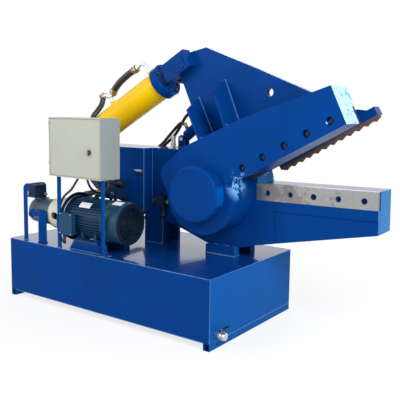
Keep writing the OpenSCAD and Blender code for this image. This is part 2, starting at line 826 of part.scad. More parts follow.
module rod_fork() {
    color(blue) on_deck() cyl_frame() difference() {
        block([cyl_len - fork_back, -fork_w / 2, -fork_h / 2], [cyl_len + fork_front, fork_w / 2,
            fork_h / 2]);
        block([cyl_len - fork_slot, -slot_w / 2, -fork_h], [cyl_len + fork_front + 1, slot_w / 2, fork_h]);
        rod_y(cyl_len, 0, cyl_pin_r + run_gap, -fork_w, fork_w);
        rod_x(cyl_len - fork_back - 1, cyl_len - fork_slot + 1, 0, 0, rod_r + run_gap);
    }
}

// Tail pin with a round keeper on each cheek of the fork.
module tail_pin() {
    color(blue) on_deck() cyl_frame() {
        rod_y(cyl_len, 0, cyl_pin_r, -fork_w / 2, fork_w / 2);
        for (y = [-fork_w / 2 - 10, fork_w / 2]) rod_y(cyl_len, 0, cyl_pin_r + 15, y, y + 10);
    }
}

// Base pins of the two cylinders, each through a pair of ears.
module base_pins() {
    clamp_reach = clamp_eye_w / 2 + clamp_ear_t + 5;
    color(steel) on_deck() at_pivot() {
        rod_y(base[0], base[1], cyl_pin_r, rear_front - 8, cyl_y + eye_w / 2 + 2.5 + ear_t + 8);
        rod_y(clamp_base[0], clamp_base[1], clamp_pin_r, clamp_mid - clamp_reach, clamp_mid + clamp_reach);
    }
}

// ---------- Electric box ----------

door_x0 = box_x + rim;
door_x1 = box_x + box_w - rim;
door_z0 = box_z + rim;
door_z1 = box_z + box_h - rim;
cam_l = door_x1 - 6 - lock_x;

// Sheet-metal case, open at the front, with an inner flange behind the door and hinge pins.
module control_box() {
    back = door_t + 2;
    color([0.82, 0.80, 0.72]) on_deck() translate([0, box_y, 0]) {
        difference() {
            block([box_x, 0, box_z], [box_x + box_w, box_d, box_z + box_h]);
            block([box_x + sheet, back + sheet, box_z + sheet],
                [box_x + box_w - sheet, box_d - sheet, box_z + box_h - sheet]);
            block([door_x0 - door_gap, -1, door_z0 - door_gap],
                [door_x1 + door_gap, back, door_z1 + door_gap]);
            block([door_x0 + 14, -1, door_z0 + 14], [door_x1 - 14, box_d / 2, door_z1 - 14]);
            for (x = [box_x + 170, box_x + 270]) rod_z(x, 140, 11, box_z - 1, box_z + 10);
        }
        for (z = [door_z0 + 60, door_z1 - 60]) {
            rod_z(door_x0 - 1, -hinge_r, hinge_r, z + 20, z + 40);
            rod_z(door_x0 - 1, -hinge_r, 2.5, z - 18, z + 21);
            block([door_x0 - door_gap - 8, -hinge_r, z + 20], [door_x0 - 1, 0.5, z + 40]);
        }
    }
}

// Pan-shaped door with the lower knuckles of its hinges.
module box_door() {
    color([0.86, 0.84, 0.77]) on_deck() translate([0, box_y, 0]) difference() {
        union() {
            block([door_x0 + 1, 0, door_z0], [door_x1, door_t, door_z1]);
            for (z = [door_z0 + 60, door_z1 - 60]) {
                rod_z(door_x0 - 1, -hinge_r, hinge_r, z - 20, z + 19);
                block([door_x0 - 1, -hinge_r, z - 20], [door_x0 + 8, 0.5, z + 19]);
            }
        }
        block([door_x0 + 1 + sheet, sheet, door_z0 + sheet], [door_x1 - sheet, door_t + 1, door_z1 - sheet]);
        for (z = [door_z0 + 60, door_z1 - 60]) rod_z(door_x0 - 1, -hinge_r, 2.5 + run_gap, z - 21, z + 20);
        rod_y(lock_x, lock_z, 8 + run_gap, -1, sheet + 1);
    }
}

// Quarter-turn lock: rose, handle and the cam behind the door.
module door_lock() {
    color([0.75, 0.76, 0.78]) on_deck() translate([0, box_y, 0]) {
        rod_y(lock_x, lock_z, 16, -6, 0);
        rod_y(lock_x, lock_z, 8, -7, door_t + 6);
        block([lock_x - 5, -lock_reach, lock_z - 22], [lock_x + 5, -6, lock_z + 22]);
        block([lock_x - 8, door_t + 5, lock_z - 8], [lock_x + 8, door_t + 8, lock_z + cam_l]);
    }
}

module mounting_plate() {
    color([0.8, 0.8, 0.8]) on_deck() translate([0, box_y, 0]) {
        block([box_x + 35, box_d - 22, box_z + 35], [box_x + box_w - 35, box_d - 20, box_z + box_h - 35]);
        for (x = [box_x + 60, box_x + box_w - 60], z = [box_z + 60, box_z + box_h - 60])
            rod_y(x, z, 6, box_d - 20, box_d - sheet);
    }
}

// Breaker, contactors, overload relay and terminal strip on the mounting plate.
module switchgear() {
    color([0.2, 0.2, 0.22]) on_deck() translate([0, box_y, 0]) {
        block([box_x + 80, box_d - 102, box_z + 270], [box_x + 170, box_d - 22, box_z + 390]);
        for (x = [220, 310, 400]) {
            block([box_x + x, box_d - 112, box_z + 280], [box_x + x + 62, box_d - 22, box_z + 380]);
            block([box_x + x + 8, box_d - 122, box_z + 300], [box_x + x + 54, box_d - 112, box_z + 360]);
        }
        block([box_x + 310, box_d - 92, box_z + 200], [box_x + 372, box_d - 22, box_z + 262]);
        for (i = [0:13]) block([box_x + 100 + 24 * i, box_d - 62, box_z + 90],
            [box_x + 122 + 24 * i, box_d - 22, box_z + 130]);
    }
}

post_x = [box_x + 46, box_x + box_w - 11 - post];
post_y = 14;

// Two posts from the deck with a cross bar under the box.
module box_posts() {
    color(blue) on_deck() {
        for (x = post_x) block([x, post_y, 0], [x + post, post_y + post, box_z - 6]);
        block([post_x[0], post_y, box_z - 6], [post_x[1] + post, post_y + post, box_z]);
    }
}

// ---------- Motor ----------

foot_plate = 18;

// Cast frame with cooling fins and two feet.
module motor_frame() {
    web = 24;
    color(teal) on_deck() difference() {
        union() {
            translate([frame_x, motor_y, axis_z]) rotate([0, 90, 0]) linear_extrude(rear_x - frame_x) {
                circle(fin_r - 18, $fn = 96);
                for (a = [0:360 / fins:359]) rotate(a) translate([fin_r - 22, -2]) square([22, 4]);
            }
            for (side = [-1, 1]) {
                block([foot_x, motor_y + side * foot_half - 33, base_h],
                    [foot_x + foot_len, motor_y + side * foot_half + 33, base_h + foot_plate]);
                for (x = [foot_x + 47, foot_x + foot_len - 71])
                    block([x, motor_y + side * 92 - 34, base_h + 2], [x + web, motor_y + side * 92 + 34,
                        base_h + 90]);
            }
            block([foot_x + 40, motor_y - 30, axis_z + fin_r - 24],
                [foot_x + 90, motor_y + 30, axis_z + fin_r + 8]);
        }
        rod_x(frame_x - 1, rear_x + 1, motor_y, axis_z, stator_r + run_gap);
        for (x = [foot_x + 25, foot_x + foot_len - 25], y = [motor_y - foot_half, motor_y + foot_half])
            rod_z(x, y, deck_bolt_r + run_gap, base_h - 1, base_h + foot_plate + 1);
    }
}

// Front end shield with the flange that carries the bellhousing.
module motor_front_shield() {
    color(teal) on_deck() turned_x(motor_y, axis_z) polygon([
        [flange_x, bearing_r - 12], [flange_x, fin_r + 5], [flange_x + 16, fin_r + 5],
            [flange_x + 20, fin_r - 8],
        [frame_x, fin_r - 8], [frame_x, bearing_r + 12], [frame_x + 14, bearing_r + 12],
        [frame_x + 14, bearing_r + run_gap], [frame_x - 12, bearing_r + run_gap],
            [frame_x - 12, bearing_r - 12]]);
}

module motor_rear_shield() {
    color(teal) on_deck() turned_x(motor_y, axis_z) polygon([
        [rear_x - 14, bearing_r + run_gap], [rear_x - 14, bearing_r + 12], [rear_x, bearing_r + 12],
        [rear_x, fin_r - 8], [cowl_x, fin_r - 12], [cowl_x, bearing_r - 12], [rear_x + 12, bearing_r - 12],
        [rear_x + 12, bearing_r + run_gap]]);
}

// Pressed fan cowl with a ring grille in its end.
module fan_cowl() {
    color(teal) on_deck() {
        turned_x(motor_y, axis_z) polygon([
            [rear_x - 20, fin_r + seat], [rear_x - 20, fin_r + 2.5], [motor_end - 14, fin_r + 2.5],
            [motor_end - 3, fin_r - 3], [motor_end, fin_r - 14], [motor_end, fin_r - 26],
                [motor_end - 2, fin_r - 26],
            [motor_end - 2, fin_r - 14], [motor_end - 5, fin_r - 5], [motor_end - 15, fin_r + seat]]);
        translate([motor_end - 2, motor_y, axis_z]) rotate([0, 90, 0]) linear_extrude(2) difference() {
            circle(fin_r - 25);
            for (r = [34:16:114]) difference() {
                circle(r + 10);
                circle(r);
                for (a = [0:60:120]) rotate(a) square([4 * fin_r, 7], center = true);
            }
        }
    }
}

terminal_x = [600, 735];
terminal_y = [2, 44];
terminal_z = [116, 281];

// Terminal box with its lid, on the operator's side of the motor.
module motor_terminal_box() {
    color(teal) on_deck() {
        difference() {
            union() {
                block([terminal_x[0], terminal_y[0] + 12, terminal_z[0]], [terminal_x[1], terminal_y[1],
                    terminal_z[1]]);
                block([frame_x + 2, terminal_y[1] - 10, axis_z - 70], [terminal_x[1] - 20, motor_y - 100,
                    axis_z + 45]);
            }
            block([terminal_x[0] + 4, terminal_y[0] + 11, terminal_z[0] + 4],
                [terminal_x[1] - 4, terminal_y[1] - 10, terminal_z[1] - 4]);
            rod_x(terminal_x[0] - 1, frame_x + 1, motor_y, axis_z, fin_r + 6);
            rod_x(frame_x, terminal_x[1] + 1, motor_y, axis_z, fin_r + seat);
        }
        block([terminal_x[0] - 3, terminal_y[0], terminal_z[0] - 3],
            [terminal_x[1] + 3, terminal_y[0] + 12, terminal_z[1] + 3]);
        rod_z(terminal_x[0] + 34, terminal_y[0] + 22, 14, terminal_z[0] - 26, terminal_z[0]);
    }
}

module stator_core() {
    color(steel) on_deck() difference() {
        rod_x(frame_x + 60, rear_x - 60, motor_y, axis_z, stator_r);
        rod_x(frame_x + 59, rear_x - 59, motor_y, axis_z, stator_r - 40);
    }
}

module motor_bearings() {
    color(steel) on_deck() for (x = [frame_x - 12, rear_x - 13]) turned_x(motor_y, axis_z)
        translate([x, motor_shaft_r + run_gap]) square([25, bearing_r - motor_shaft_r - run_gap]);
}

// Rotor with its shaft, and the pump's stub shaft beyond the coupling.
module rotor_shaft() {
    color(steel) on_deck() {
        rod_x(coupling_x + 18, motor_end - 25, motor_y, axis_z, motor_shaft_r);
        rod_x(bell_x - 58, coupling_x - 18, motor_y, axis_z, motor_shaft_r);
        rod_x(frame_x + 60, rear_x - 60, motor_y, axis_z, stator_r - 40 - air_gap);
    }
}

module cooling_fan() {
    color(black) on_deck() {
        difference() {
            rod_x(cowl_x + 30, cowl_x + 80, motor_y, axis_z, 45);
            rod_x(cowl_x + 29, cowl_x + 81, motor_y, axis_z, motor_shaft_r + run_gap);
        }
        for (a = [0:60:300]) translate([cowl_x + 32, motor_y, axis_z]) rotate([a, 0, 0])
            block([0, -2.5, 44], [46, 2.5, 134]);
    }
}

rail_x = [665, 1000];
rail_w = 70;

// Two base rails on the deck under the motor's feet.
module motor_base() {
    color(blue) on_deck() difference() {
        for (y = [motor_y - foot_half - 33, motor_y + foot_half + 33 - rail_w]) slab(y, y + rail_w)
            polygon([[rail_x[0], 0], [rail_x[1], 0], [rail_x[1], base_h], [rail_x[0] + 45, base_h]]);
        for (x = [foot_x + 25, foot_x + foot_len - 25], y = [motor_y - foot_half, motor_y + foot_half])
            rod_z(x, y, deck_bolt_r + run_gap, base_h - 31, base_h + 1);
    }
}

// ---------- Pump ----------

// Cast bellhousing between motor and pump, with an inspection window on each side.
module bellhousing() {
    color([0.80, 0.78, 0.70]) on_deck() difference() {
        turned_x(motor_y, axis_z) polygon([
            [bell_x, 70], [bell_x, 122], [bell_x + 14, 126], [bell_x + 120, 134], [flange_x - 18, 142],
            [flange_x - 16, fin_r + 5], [flange_x, fin_r + 5], [flange_x, 126], [flange_x - 30, 122],
            [bell_x + 22, 110], [bell_x + 22, 70]]);
        for (side = [-1, 1]) for (x = [bell_x + 80, bell_x + 106])
            rod_y(x, axis_z, 30, side < 0 ? motor_y - 170 : motor_y + 60,
                side < 0 ? motor_y - 60 : motor_y + 170);
    }
}

coupling_x = 460;
coupling_r = 52;

// Two coupling hubs with three jaws each.
module coupling_hubs() {
    color([0.3, 0.3, 0.32]) on_deck() for (side = [-1, 1]) difference() {
        union() {
            rod_x(coupling_x + side * 45 - 30, coupling_x + side * 45 + 30, motor_y, axis_z, coupling_r);
            for (a = [0:120:240]) translate([coupling_x, motor_y, axis_z]) rotate([a + 30 * side, 0, 0])
                block([side > 0 ? -12 : -16, -9, 26], [side > 0 ? 16 : 12, 9, 48]);
        }
        rod_x(coupling_x - 200, coupling_x + 200, motor_y, axis_z, motor_shaft_r + run_gap);
    }
}

// Rubber spider between the jaws.
module coupling_spider() {
    color([0.7, 0.15, 0.1]) on_deck() translate([coupling_x, motor_y, axis_z]) difference() {
        union() {
            rod_x(-12, 12, 0, 0, 25);
            for (a = [0:60:300]) rotate([a, 0, 0]) block([-12, -5, 20], [12, 5, 46]);
        }
        rod_x(-13, 13, 0, 0, motor_shaft_r + 1);
    }
}

port_half = 34;
port_x = 270;
pad_z = axis_z + pump_r + 3;
valve_boss_x = 155;

// Pump casing with its end cover seam, side ports and stub shaft.
module pump_body() {
    color([0.38, 0.47, 0.52]) on_deck() {
        difference() {
            union() {
                turned_x(motor_y, axis_z) polygon([
                    [pump_x, 0], [pump_x, pump_r - 14], [pump_x + 12, pump_r - 4], [pump_x + 56, pump_r - 4],
                    [pump_x + 56, pump_r - 8], [pump_x + 62, pump_r - 8], [pump_x + 62, pump_r],
                    [bell_x - 36, pump_r], [bell_x - 30, pump_r + 10], [bell_x, pump_r + 10], [bell_x, 69],
                    [bell_x + 16, 69], [bell_x + 16, 0]]);
                rod_y(port_x, axis_z, port_half, motor_y - pump_r - 12, motor_y);
                rod_y(port_x, axis_z, port_half - 8, motor_y, motor_y + pump_r + 14);
                block([valve_boss_x - 40, motor_y - 40, axis_z], [valve_boss_x + 40, motor_y + 45, pad_z]);
            }
            rod_y(port_x, axis_z, 20, motor_y - pump_r - 13, motor_y - 40);
            rod_y(port_x, axis_z, 14, motor_y + 40, motor_y + pump_r + 15);
            rod_x(bell_x - 60, bell_x + 30, motor_y, axis_z, motor_shaft_r + run_gap);
        }
    }
}

// Suction pipe from the tank with its cross fitting and blank flange.
module suction_pipe() {
    top = axis_z + 30;
    end_y = motor_y - pump_r - 12;
    branch_r = 25;
    color(blue) on_deck() difference() {
        union() {
            rod_z(suction_x, suction_y, suction_r, 80 - tank_h, top);
            rod_z(suction_x, suction_y, suction_r + 6, 0, 10);
            rod_z(suction_x, suction_y, suction_r + 4, top - 12, top);
            rod_y(port_x, axis_z, branch_r, suction_y, end_y);
            rod_y(port_x, axis_z, port_half, end_y - 10, end_y);
            rod_x(port_x - 46, suction_x, suction_y, axis_z, branch_r);
            rod_x(port_x - 58, port_x - 44, suction_y, axis_z, branch_r + 10);
        }
        rod_z(suction_x, suction_y, suction_r - 5, 79 - tank_h, top - 10);
        rod_x(port_x, suction_x, suction_y, axis_z, branch_r - 5);
        rod_y(port_x, axis_z, branch_r - 5, suction_y, end_y + 1);
    }
}

hoop_x = [126, 164];
hoop_y = [40, 247];
hoop_z = 462;
hoop_t = 12;
hoop_corner = 40;

// Guard hoop of flat bar, from the deck over the pump's valve to a pad on the pump.
module hoop_guard() {
    span = hoop_y[1] - hoop_y[0];
    color(blue) on_deck() translate([hoop_x[0], hoop_y[0],
        0]) rotate([90, 0, 90]) linear_extrude(hoop_x[1] - hoop_x[0])
        difference() {
            hoop_shape(span, hoop_z, hoop_corner);
            translate([hoop_t, -1]) hoop_shape(span - 2 * hoop_t, hoop_z - hoop_t + 1, hoop_corner - hoop_t);
            translate([span - 2 * hoop_t, -1]) square([3 * hoop_t, pad_z + 1]);
        }
}

module hoop_shape(span, height, corner) {
    square([span, height - corner]);
    translate([corner, 0]) square([span - 2 * corner, height]);
    for (y = [corner, span - corner]) translate([y, height - corner]) circle(corner);
}

// Relief valve block standing on the pump, with its adapter and plug.
module pump_valve() {
    color([0.12, 0.25, 0.38]) on_deck() {
        block([105, 98, pad_z + 10], [205, 212, hoop_z - 16]);
        rod_z(valve_boss_x, motor_y - 20, 19, pad_z, pad_z + 11);
        rod_y(125, 378, 13, 84, 99);
        rod_x(204, 222, 196, 366, 12);
    }
}

// ---------- Valves, hoses and cables ----------

valve_x = [640, 800];
valve_z = [352, 440];
valve_y = rear_front - 120;

// Manifold on the frame's rear box with a solenoid valve and its fittings.
module control_valve() {
    color([0.15, 0.27, 0.4]) on_deck() {
        block([valve_x[0], valve_y, valve_z[0]], [valve_x[1], rear_front, valve_z[1]]);
        block([valve_x[0] + 40, valve_y + 20, valve_z[1]], [valve_x[1] - 40, valve_y + 90, valve_z[1] + 62]);
        rod_x(valve_x[0] - 20, valve_x[1] + 20, valve_y + 55, valve_z[1] + 36, 22);
        for (y = [valve_y + 25, valve_y + 85]) rod_x(valve_x[0] - 30, valve_x[0], y, valve_z[0] + 34, 18);
        rod_z(valve_x[0] + 20, valve_y + 100, 16, valve_z[1] - 1, valve_z[1] + 30);
        for (x = [valve_x[0] + 50, valve_x[0] + 100]) rod_z(x, valve_y + 50, 14, valve_z[0] - 20,
            valve_z[0] + 1);
        for (x = [valve_x[0] + 30, valve_x[1] - 30])
            rod_y(x, valve_z[0] + 36, 18, valve_y - 34, valve_y);
        block([1060, 596, 302], [1150, fixed_y, 392]);
        rod_x(1040, 1180, 623, 346, 20);
        rod_z(1128, 622, 15, 262, 303);
        rod_z(1128, 622, 21, 240, 266);
    }
}

pressure_line = [[port_x, 324.5, 225], [port_x, 345, 225], [276, 372, 232], [312, 410, 290], [400, 438, 352],
    [500, 449, 378], [565, 450, 386], [590, 450, 386], [609.5, 450, 386]];
return_line = [[return_x, return_y, -deck_t], [560, 470, 30], [560, 470, 90], [563, 446, 200],
    [570, 415, 290], [585, 368, 350], [606, 336, 380], [633, 322, 391], [657, 331, 390], [669, 352, 388],
    [670, 372, 388], [670, 390.5, 388]];

// Hoses that move with nothing: pump to valve, valve to tank.
module fixed_hoses() {
    color(black) on_deck() {
        hose(pressure_line, 22, 3, 10);
        hose(return_line, return_r, 3, 10);
    }
}

head_line = [[522.4, 625, 1158.4], [487, 624, 1138], [443, 600, 1104], [423, 550, 1048], [443, 497, 985],
    [493, 476, 925], [505, 470, 850], [515, 490, 740], [545, 510, 640], [605, 524, 585], [650, 525, 545],
    [660, 525, 500], [660, 525, 470.5]];
base_line = [[437.6, 468.5, 895.3], [437.6, 452, 895.3], [436, 440, 880], [425, 432, 840], [420, 440, 740],
    [450, 460, 600],
    [500, 490, 470], [560, 508, 392], [590, 510, 386], [609.5, 510, 386]];

// Hoses that bend with the main cylinder.
module cylinder_hoses() {
    color(black) on_deck() for (line = [head_line, base_line]) hose(line, 14, 2, 8);
}

base_feed = [[1138.8, 906, 932.4], [1124, 906, 952], [1075, 906, 965], [1000, 903, 900], [900, 900, 800],
    [790, 900, 700], [755, 900, 500], [740, 900, 260], [740, 860, 150], [740, 700, 140], [740, 560, 160],
    [740, 480, 240], [740, 475, 300], [740, 475, 331.5]];
head_feed = [[1329.1, 906, 1077.4], [1314, 906, 1097], [1240, 914, 1100], [1120, 933, 1020], [1010, 936, 880],
    [880, 932, 770], [740, 932, 670], [700, 930, 500], [690, 922, 260], [690, 860, 150], [690, 700, 140],
    [690, 560, 160], [690, 480, 240], [690, 475, 300], [690, 475, 331.5]];

// Hoses that bend with the clamp's cylinder, down the back and under the frame to the valve.
module clamp_hoses() {
    color(black) on_deck() for (line = [base_feed, head_feed]) hose(line, 11, 2, 8);
}

// Motor and valve cables out of the electric box.
module cables() {
    color(black) on_deck() {
        hose([[690, 120, 566], [690, 120, 556], [690, 120, 545], [600, 112, 450], [515, 90, 390], [506, 62, 310],
            [508, 48, 225],
            [515, 50, 150], [532, 60, 82], [566, 66, 42], [604, 52, 34], [630, 30, 48], [634, 24, 66],
            [634, 24, 78], [634, 24, 89.5]], 9, 2, 8);
        hose([[790, 120, 566], [790, 120, 545], [791, 124, 520], [796, 150, 470], [790, 220, 430],
            [770, 320, 410], [740, 400, 440],
            [725, 420, 470], [725, 432, 475], [725, 444.5, 475]], 9, 2, 8);
    }
}

oil_tank();
skid_tubes();
drain_valve();
drain_lever();
main_frame();
foot_blocks();
deck_bolts();
lower_blade();
lower_blade_bolts();
main_shaft();
shaft_cap();
shaft_keeper();
upper_arm();
upper_blade();
upper_blade_bolts();
arm_bush();
clamp_arm();
toothed_bar();
clamp_bush();
clamp_cylinder();
clamp_rod();
clamp_valve();
cylinder_barrel();
cylinder_base_cap();
cylinder_gland();
gland_bolts();
cylinder_fittings();
head_hose();
piston_rod();
rod_fork();
tail_pin();
base_pins();
control_box();
box_door();
door_lock();
mounting_plate();
switchgear();
box_posts();
motor_frame();
motor_front_shield();
motor_rear_shield();
fan_cowl();
motor_terminal_box();
stator_core();
motor_bearings();
rotor_shaft();
cooling_fan();
motor_base();
bellhousing();
coupling_hubs();
coupling_spider();
pump_body();
suction_pipe();
hoop_guard();
pump_valve();
control_valve();
fixed_hoses();
cylinder_hoses();
clamp_hoses();
cables();
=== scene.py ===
"""Looks of an alligator shear: enamel, bare steel, hoses, welds and small fittings."""

from __future__ import annotations

import json
import logging
import math
from dataclasses import dataclass, field
from enum import Enum
from typing import Callable, Iterable, Sequence

import bpy
from mathutils import Euler, Matrix, Vector

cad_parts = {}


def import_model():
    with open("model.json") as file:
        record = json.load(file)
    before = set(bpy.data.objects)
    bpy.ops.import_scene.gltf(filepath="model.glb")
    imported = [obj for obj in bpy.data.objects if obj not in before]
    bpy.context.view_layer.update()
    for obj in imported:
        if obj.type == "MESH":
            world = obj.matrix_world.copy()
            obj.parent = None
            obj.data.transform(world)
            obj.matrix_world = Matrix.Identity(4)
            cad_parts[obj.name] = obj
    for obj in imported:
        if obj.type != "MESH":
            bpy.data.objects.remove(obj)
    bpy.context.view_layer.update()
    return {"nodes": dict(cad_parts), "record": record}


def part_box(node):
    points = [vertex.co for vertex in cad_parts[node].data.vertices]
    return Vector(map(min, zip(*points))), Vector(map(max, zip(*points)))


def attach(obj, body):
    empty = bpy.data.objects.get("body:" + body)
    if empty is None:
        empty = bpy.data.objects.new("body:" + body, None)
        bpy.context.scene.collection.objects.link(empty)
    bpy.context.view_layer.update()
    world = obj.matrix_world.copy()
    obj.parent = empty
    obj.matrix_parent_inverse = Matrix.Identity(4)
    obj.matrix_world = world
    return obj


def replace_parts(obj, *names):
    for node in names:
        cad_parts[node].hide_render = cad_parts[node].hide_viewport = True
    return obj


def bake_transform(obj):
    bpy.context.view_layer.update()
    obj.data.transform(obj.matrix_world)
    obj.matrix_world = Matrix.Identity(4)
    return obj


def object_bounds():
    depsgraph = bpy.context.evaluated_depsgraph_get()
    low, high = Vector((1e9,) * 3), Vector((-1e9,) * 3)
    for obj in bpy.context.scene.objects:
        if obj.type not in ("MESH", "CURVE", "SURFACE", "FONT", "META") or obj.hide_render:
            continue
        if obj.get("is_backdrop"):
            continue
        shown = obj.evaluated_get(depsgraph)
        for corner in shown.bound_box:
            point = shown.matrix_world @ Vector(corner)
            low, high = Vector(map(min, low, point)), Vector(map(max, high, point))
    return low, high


LOG = logging.getLogger("alligator_shear")
Point = tuple[float, float, float]
Colour = tuple[float, float, float]
Line = tuple[Point, ...]
Place = Callable[[float, float, float], Vector]
Piece = bpy.types.Object
Socket = bpy.types.NodeSocket

MM = 0.001
# Numbers of sides.
HEX = 6
ROUND = 24
# Length of a weld bead between two of its rings, and size and pitch of its ripples.
BEAD_STEP = 0.006
RIPPLES = ((0.16, 2.1), (0.08, 0.37))
# Cosine above which a face counts as looking along a direction.
ALIGNED = 0.9
ALONG_X = (0.0, math.radians(90), 0.0)
FRONT = (0, -1, 0)
PUMP_END = (-1, 0, 0)
UP = (0, 0, 1)
DOWN = (0, 0, -1)
WHITE = (1.0, 1.0, 1.0)


# ---------------------------------------------------------------- places


@dataclass
class Deck:
    """Coordinates on the machine, in millimetres.

    X runs from the tank's pump end, Y from its front and Z up from its deck.

    Attributes:
        corner: The deck's corner in the shared frame.
    """

    corner: Vector = field(default_factory=Vector)

    @classmethod
    def from_tank(cls) -> "Deck":
        """Reads the corner of the deck from the tank.

        Returns:
            The deck's coordinates.
        """
        low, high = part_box("oil_tank")
        return cls(Vector((low.x, low.y, high.z)))

    def at(self, x: float, y: float, z: float) -> Vector:
        """Turns a place on the machine into the shared frame.

        Args:
            x: Distance from the tank's pump end.
            y: Distance from the tank's front.
            z: Height above the deck.

        Returns:
            The point in metres.
        """
        return self.corner + Vector((x, y, z)) * MM


@dataclass
class CylinderLine:
    """Coordinates along the main cylinder, in millimetres.

    X runs from its base pin along it, Y across it and Z up from it.

    Attributes:
        deck: Coordinates of the machine.
        pin: Middle of the base pin on the machine.
        slope: Rise of the cylinder in degrees.
    """

    deck: Deck
    pin: Point = (350, 625, 845)
    slope: float = 29.8445

    def at(self, x: float, y: float, z: float) -> Vector:
        """Turns a place on the cylinder into the shared frame.

        Args:
            x: Distance along the cylinder in millimetres.
            y: Distance across it.
            z: Distance above its axis.

        Returns:
            The point in metres.
        """
        a = math.radians(self.slope)
        return self.deck.at(
            self.pin[0] + x * math.cos(a) - z * math.sin(a),
            self.pin[1] + y,
            self.pin[2] + x * math.sin(a) + z * math.cos(a),
        )


# ---------------------------------------------------------------- shader groups


class Tree:
    """Short ways to put nodes into one node tree and join them."""

    def __init__(self, tree: bpy.types.NodeTree) -> None:
        """Keeps the tree that the nodes go into."""
        self.tree = tree

    def add(self, kind: str, values: dict | None = None, **settings: object) -> bpy.types.Node:
        """Adds one node.

        Args:
            kind: The node's type, without its ShaderNode prefix.
            values: Input sockets by name or number, each with a value or the socket that feeds it.
            **settings: Attributes of the node.

        Returns:
            The new node.
        """
        node = self.tree.nodes.new("ShaderNode" + kind)
        for name, value in settings.items():
            setattr(node, name, value)
        for name, value in (values or {}).items():
            self.feed(node.inputs[name], value)
        return node

    def feed(self, socket: Socket, value: object) -> None:
        """Links a socket to another one, or sets its value."""
        if isinstance(value, Socket):
            self.tree.links.new(value, socket)
        elif isinstance(value, tuple) and len(value) == 3 and socket.type == "RGBA":
            socket.default_value = (*value, 1.0)
        else:
            socket.default_value = value

    def math(self, operation: str, *values: object) -> Socket:
        """Adds a Math node and gives its result."""
        return self.add("Math", dict(enumerate(values)), operation=operation).outputs[0]

    def ramp(self, value: Socket, low: object, high: object) -> Socket:
        """Gives 0 below low, 1 above high and a smooth rise between."""
        values = {"Value": value, "From Min": low, "From Max": high}
        return self.add("MapRange", values, interpolation_type="SMOOTHSTEP").outputs["Result"]

    def noise(self, place: Socket, scale: object, detail: float, roughness: float = 0.5) -> Socket:
        """Gives a cloudy noise from 0 to 1.

        Args:
            place: Where it is read.
            scale: Its fineness.
            detail: How many finer layers it has.
            roughness: How strong those are.

        Returns:
            The noise.
        """
        values = {"Vector": place, "Scale": scale, "Detail": detail, "Roughness": roughness}
        return self.add("TexNoise", values).outputs[0]

    def mix(self, mask: object, low: object, high: object) -> Socket:
        """Mixes two colours by a mask and gives the result."""
        node = self.add("Mix", data_type="RGBA")
        for number, value in ((0, mask), (6, low), (7, high)):
            self.feed(node.inputs[number], value)
        return node.outputs[2]

    def spread(self, value: Socket, low: float, high: float) -> Socket:
        """Spreads a value from 0 to 1 evenly between two others."""
        return self.add("MapRange", {"Value": value, "To Min": low, "To Max": high}).outputs[0]

    def effect(self, kind: "Effect", **values: object) -> Socket:
        """Places one of the shared effects.

        Args:
            kind: Which effect.
            **values: Its inputs by name.

        Returns:
            Its result.
        """
        node = self.tree.nodes.new("ShaderNodeGroup")
        node.node_tree = kind.tree()
        for name, value in values.items():
            self.feed(node.inputs[name], value)
        return node.outputs[0]

    def relief(self, height: Socket, strength: float, depth: float) -> None:
        """Raises the surface by a height.

        Args:
            height: The height, about 0 to 1.
            strength: How strongly it shows.
            depth: Size of the relief in metres.
        """
        bump = self.add("Bump", {"Height": height, "Strength": strength, "Distance": depth})
        self.feed(self.tree.nodes["Principled BSDF"].inputs["Normal"], bump.outputs[0])


class Effect(Enum):
    """Surface effects that several finishes share, each one shader node group."""

    MOTTLE = "mottle"
    PATCHES = "patches"
    SCRATCHES = "scratches"
    SKIN = "skin"
    ZONE = "zone"
    SIDE = "side"

    def tree(self) -> bpy.types.NodeTree:
        """Gives the effect's node group and builds it the first time."""
        made = bpy.data.node_groups.get(self.value)
        if made:
            return made
        made = bpy.data.node_groups.new(self.value, "ShaderNodeTree")
        build, inputs, output = EFFECTS[self]
        for name, value in inputs.items():
            kind = "NodeSocketFloat" if isinstance(value, float) else "NodeSocketVector"
            socket = made.interface.new_socket(name=name, in_out="INPUT", socket_type=kind)
            if value is not None:
                socket.default_value = value
        made.interface.new_socket(name=output, in_out="OUTPUT", socket_type="NodeSocketFloat")
        inner = Tree(made)
        source = made.nodes.new("NodeGroupInput")
        target = made.nodes.new("NodeGroupOutput")
        made.links.new(build(inner, source.outputs), target.inputs[0])
        return made


def build_mottle(t: Tree, given: bpy.types.NodeOutputs) -> Socket:
    """Soft unevenness of a coat of paint, from 0 to 1."""
    return t.ramp(t.noise(given["Place"], given["Scale"], 4.0, 0.55), 0.3, 0.7)


def build_patches(t: Tree, given: bpy.types.NodeOutputs) -> Socket:
    """Ragged patches: chips and stains, and the ragged edges of painted light and shade."""
    broad = t.noise(given["Place"], given["Scale"], 7.0, 0.68)
    edge = t.math("SUBTRACT", 0.78, t.math("MULTIPLY", given["Amount"], 0.5))
    return t.ramp(broad, edge, t.math("ADD", edge, 0.05))


def build_scratches(t: Tree, given: bpy.types.NodeOutputs) -> Socket:
    """Thin lines that run along one direction."""
    long = t.add("Mapping", {"Vector": given["Place"], "Scale": given["Stretch"]}).outputs[0]
    edge = t.math("SUBTRACT", 0.75, t.math("MULTIPLY", given["Amount"], 0.3))
    return t.ramp(t.noise(long, given["Scale"], 5.0, 0.7), edge, t.math("ADD", edge, 0.06))


def build_skin(t: Tree, given: bpy.types.NodeOutputs) -> Socket:
    """Height of the slight waviness of sprayed paint or cast metal."""
    plate = t.math("MULTIPLY", t.noise(given["Place"], 3.0, 1.0), given["Waviness"])
    return t.math("ADD", t.noise(given["Place"], given["Scale"], 2.0, 0.45), plate)


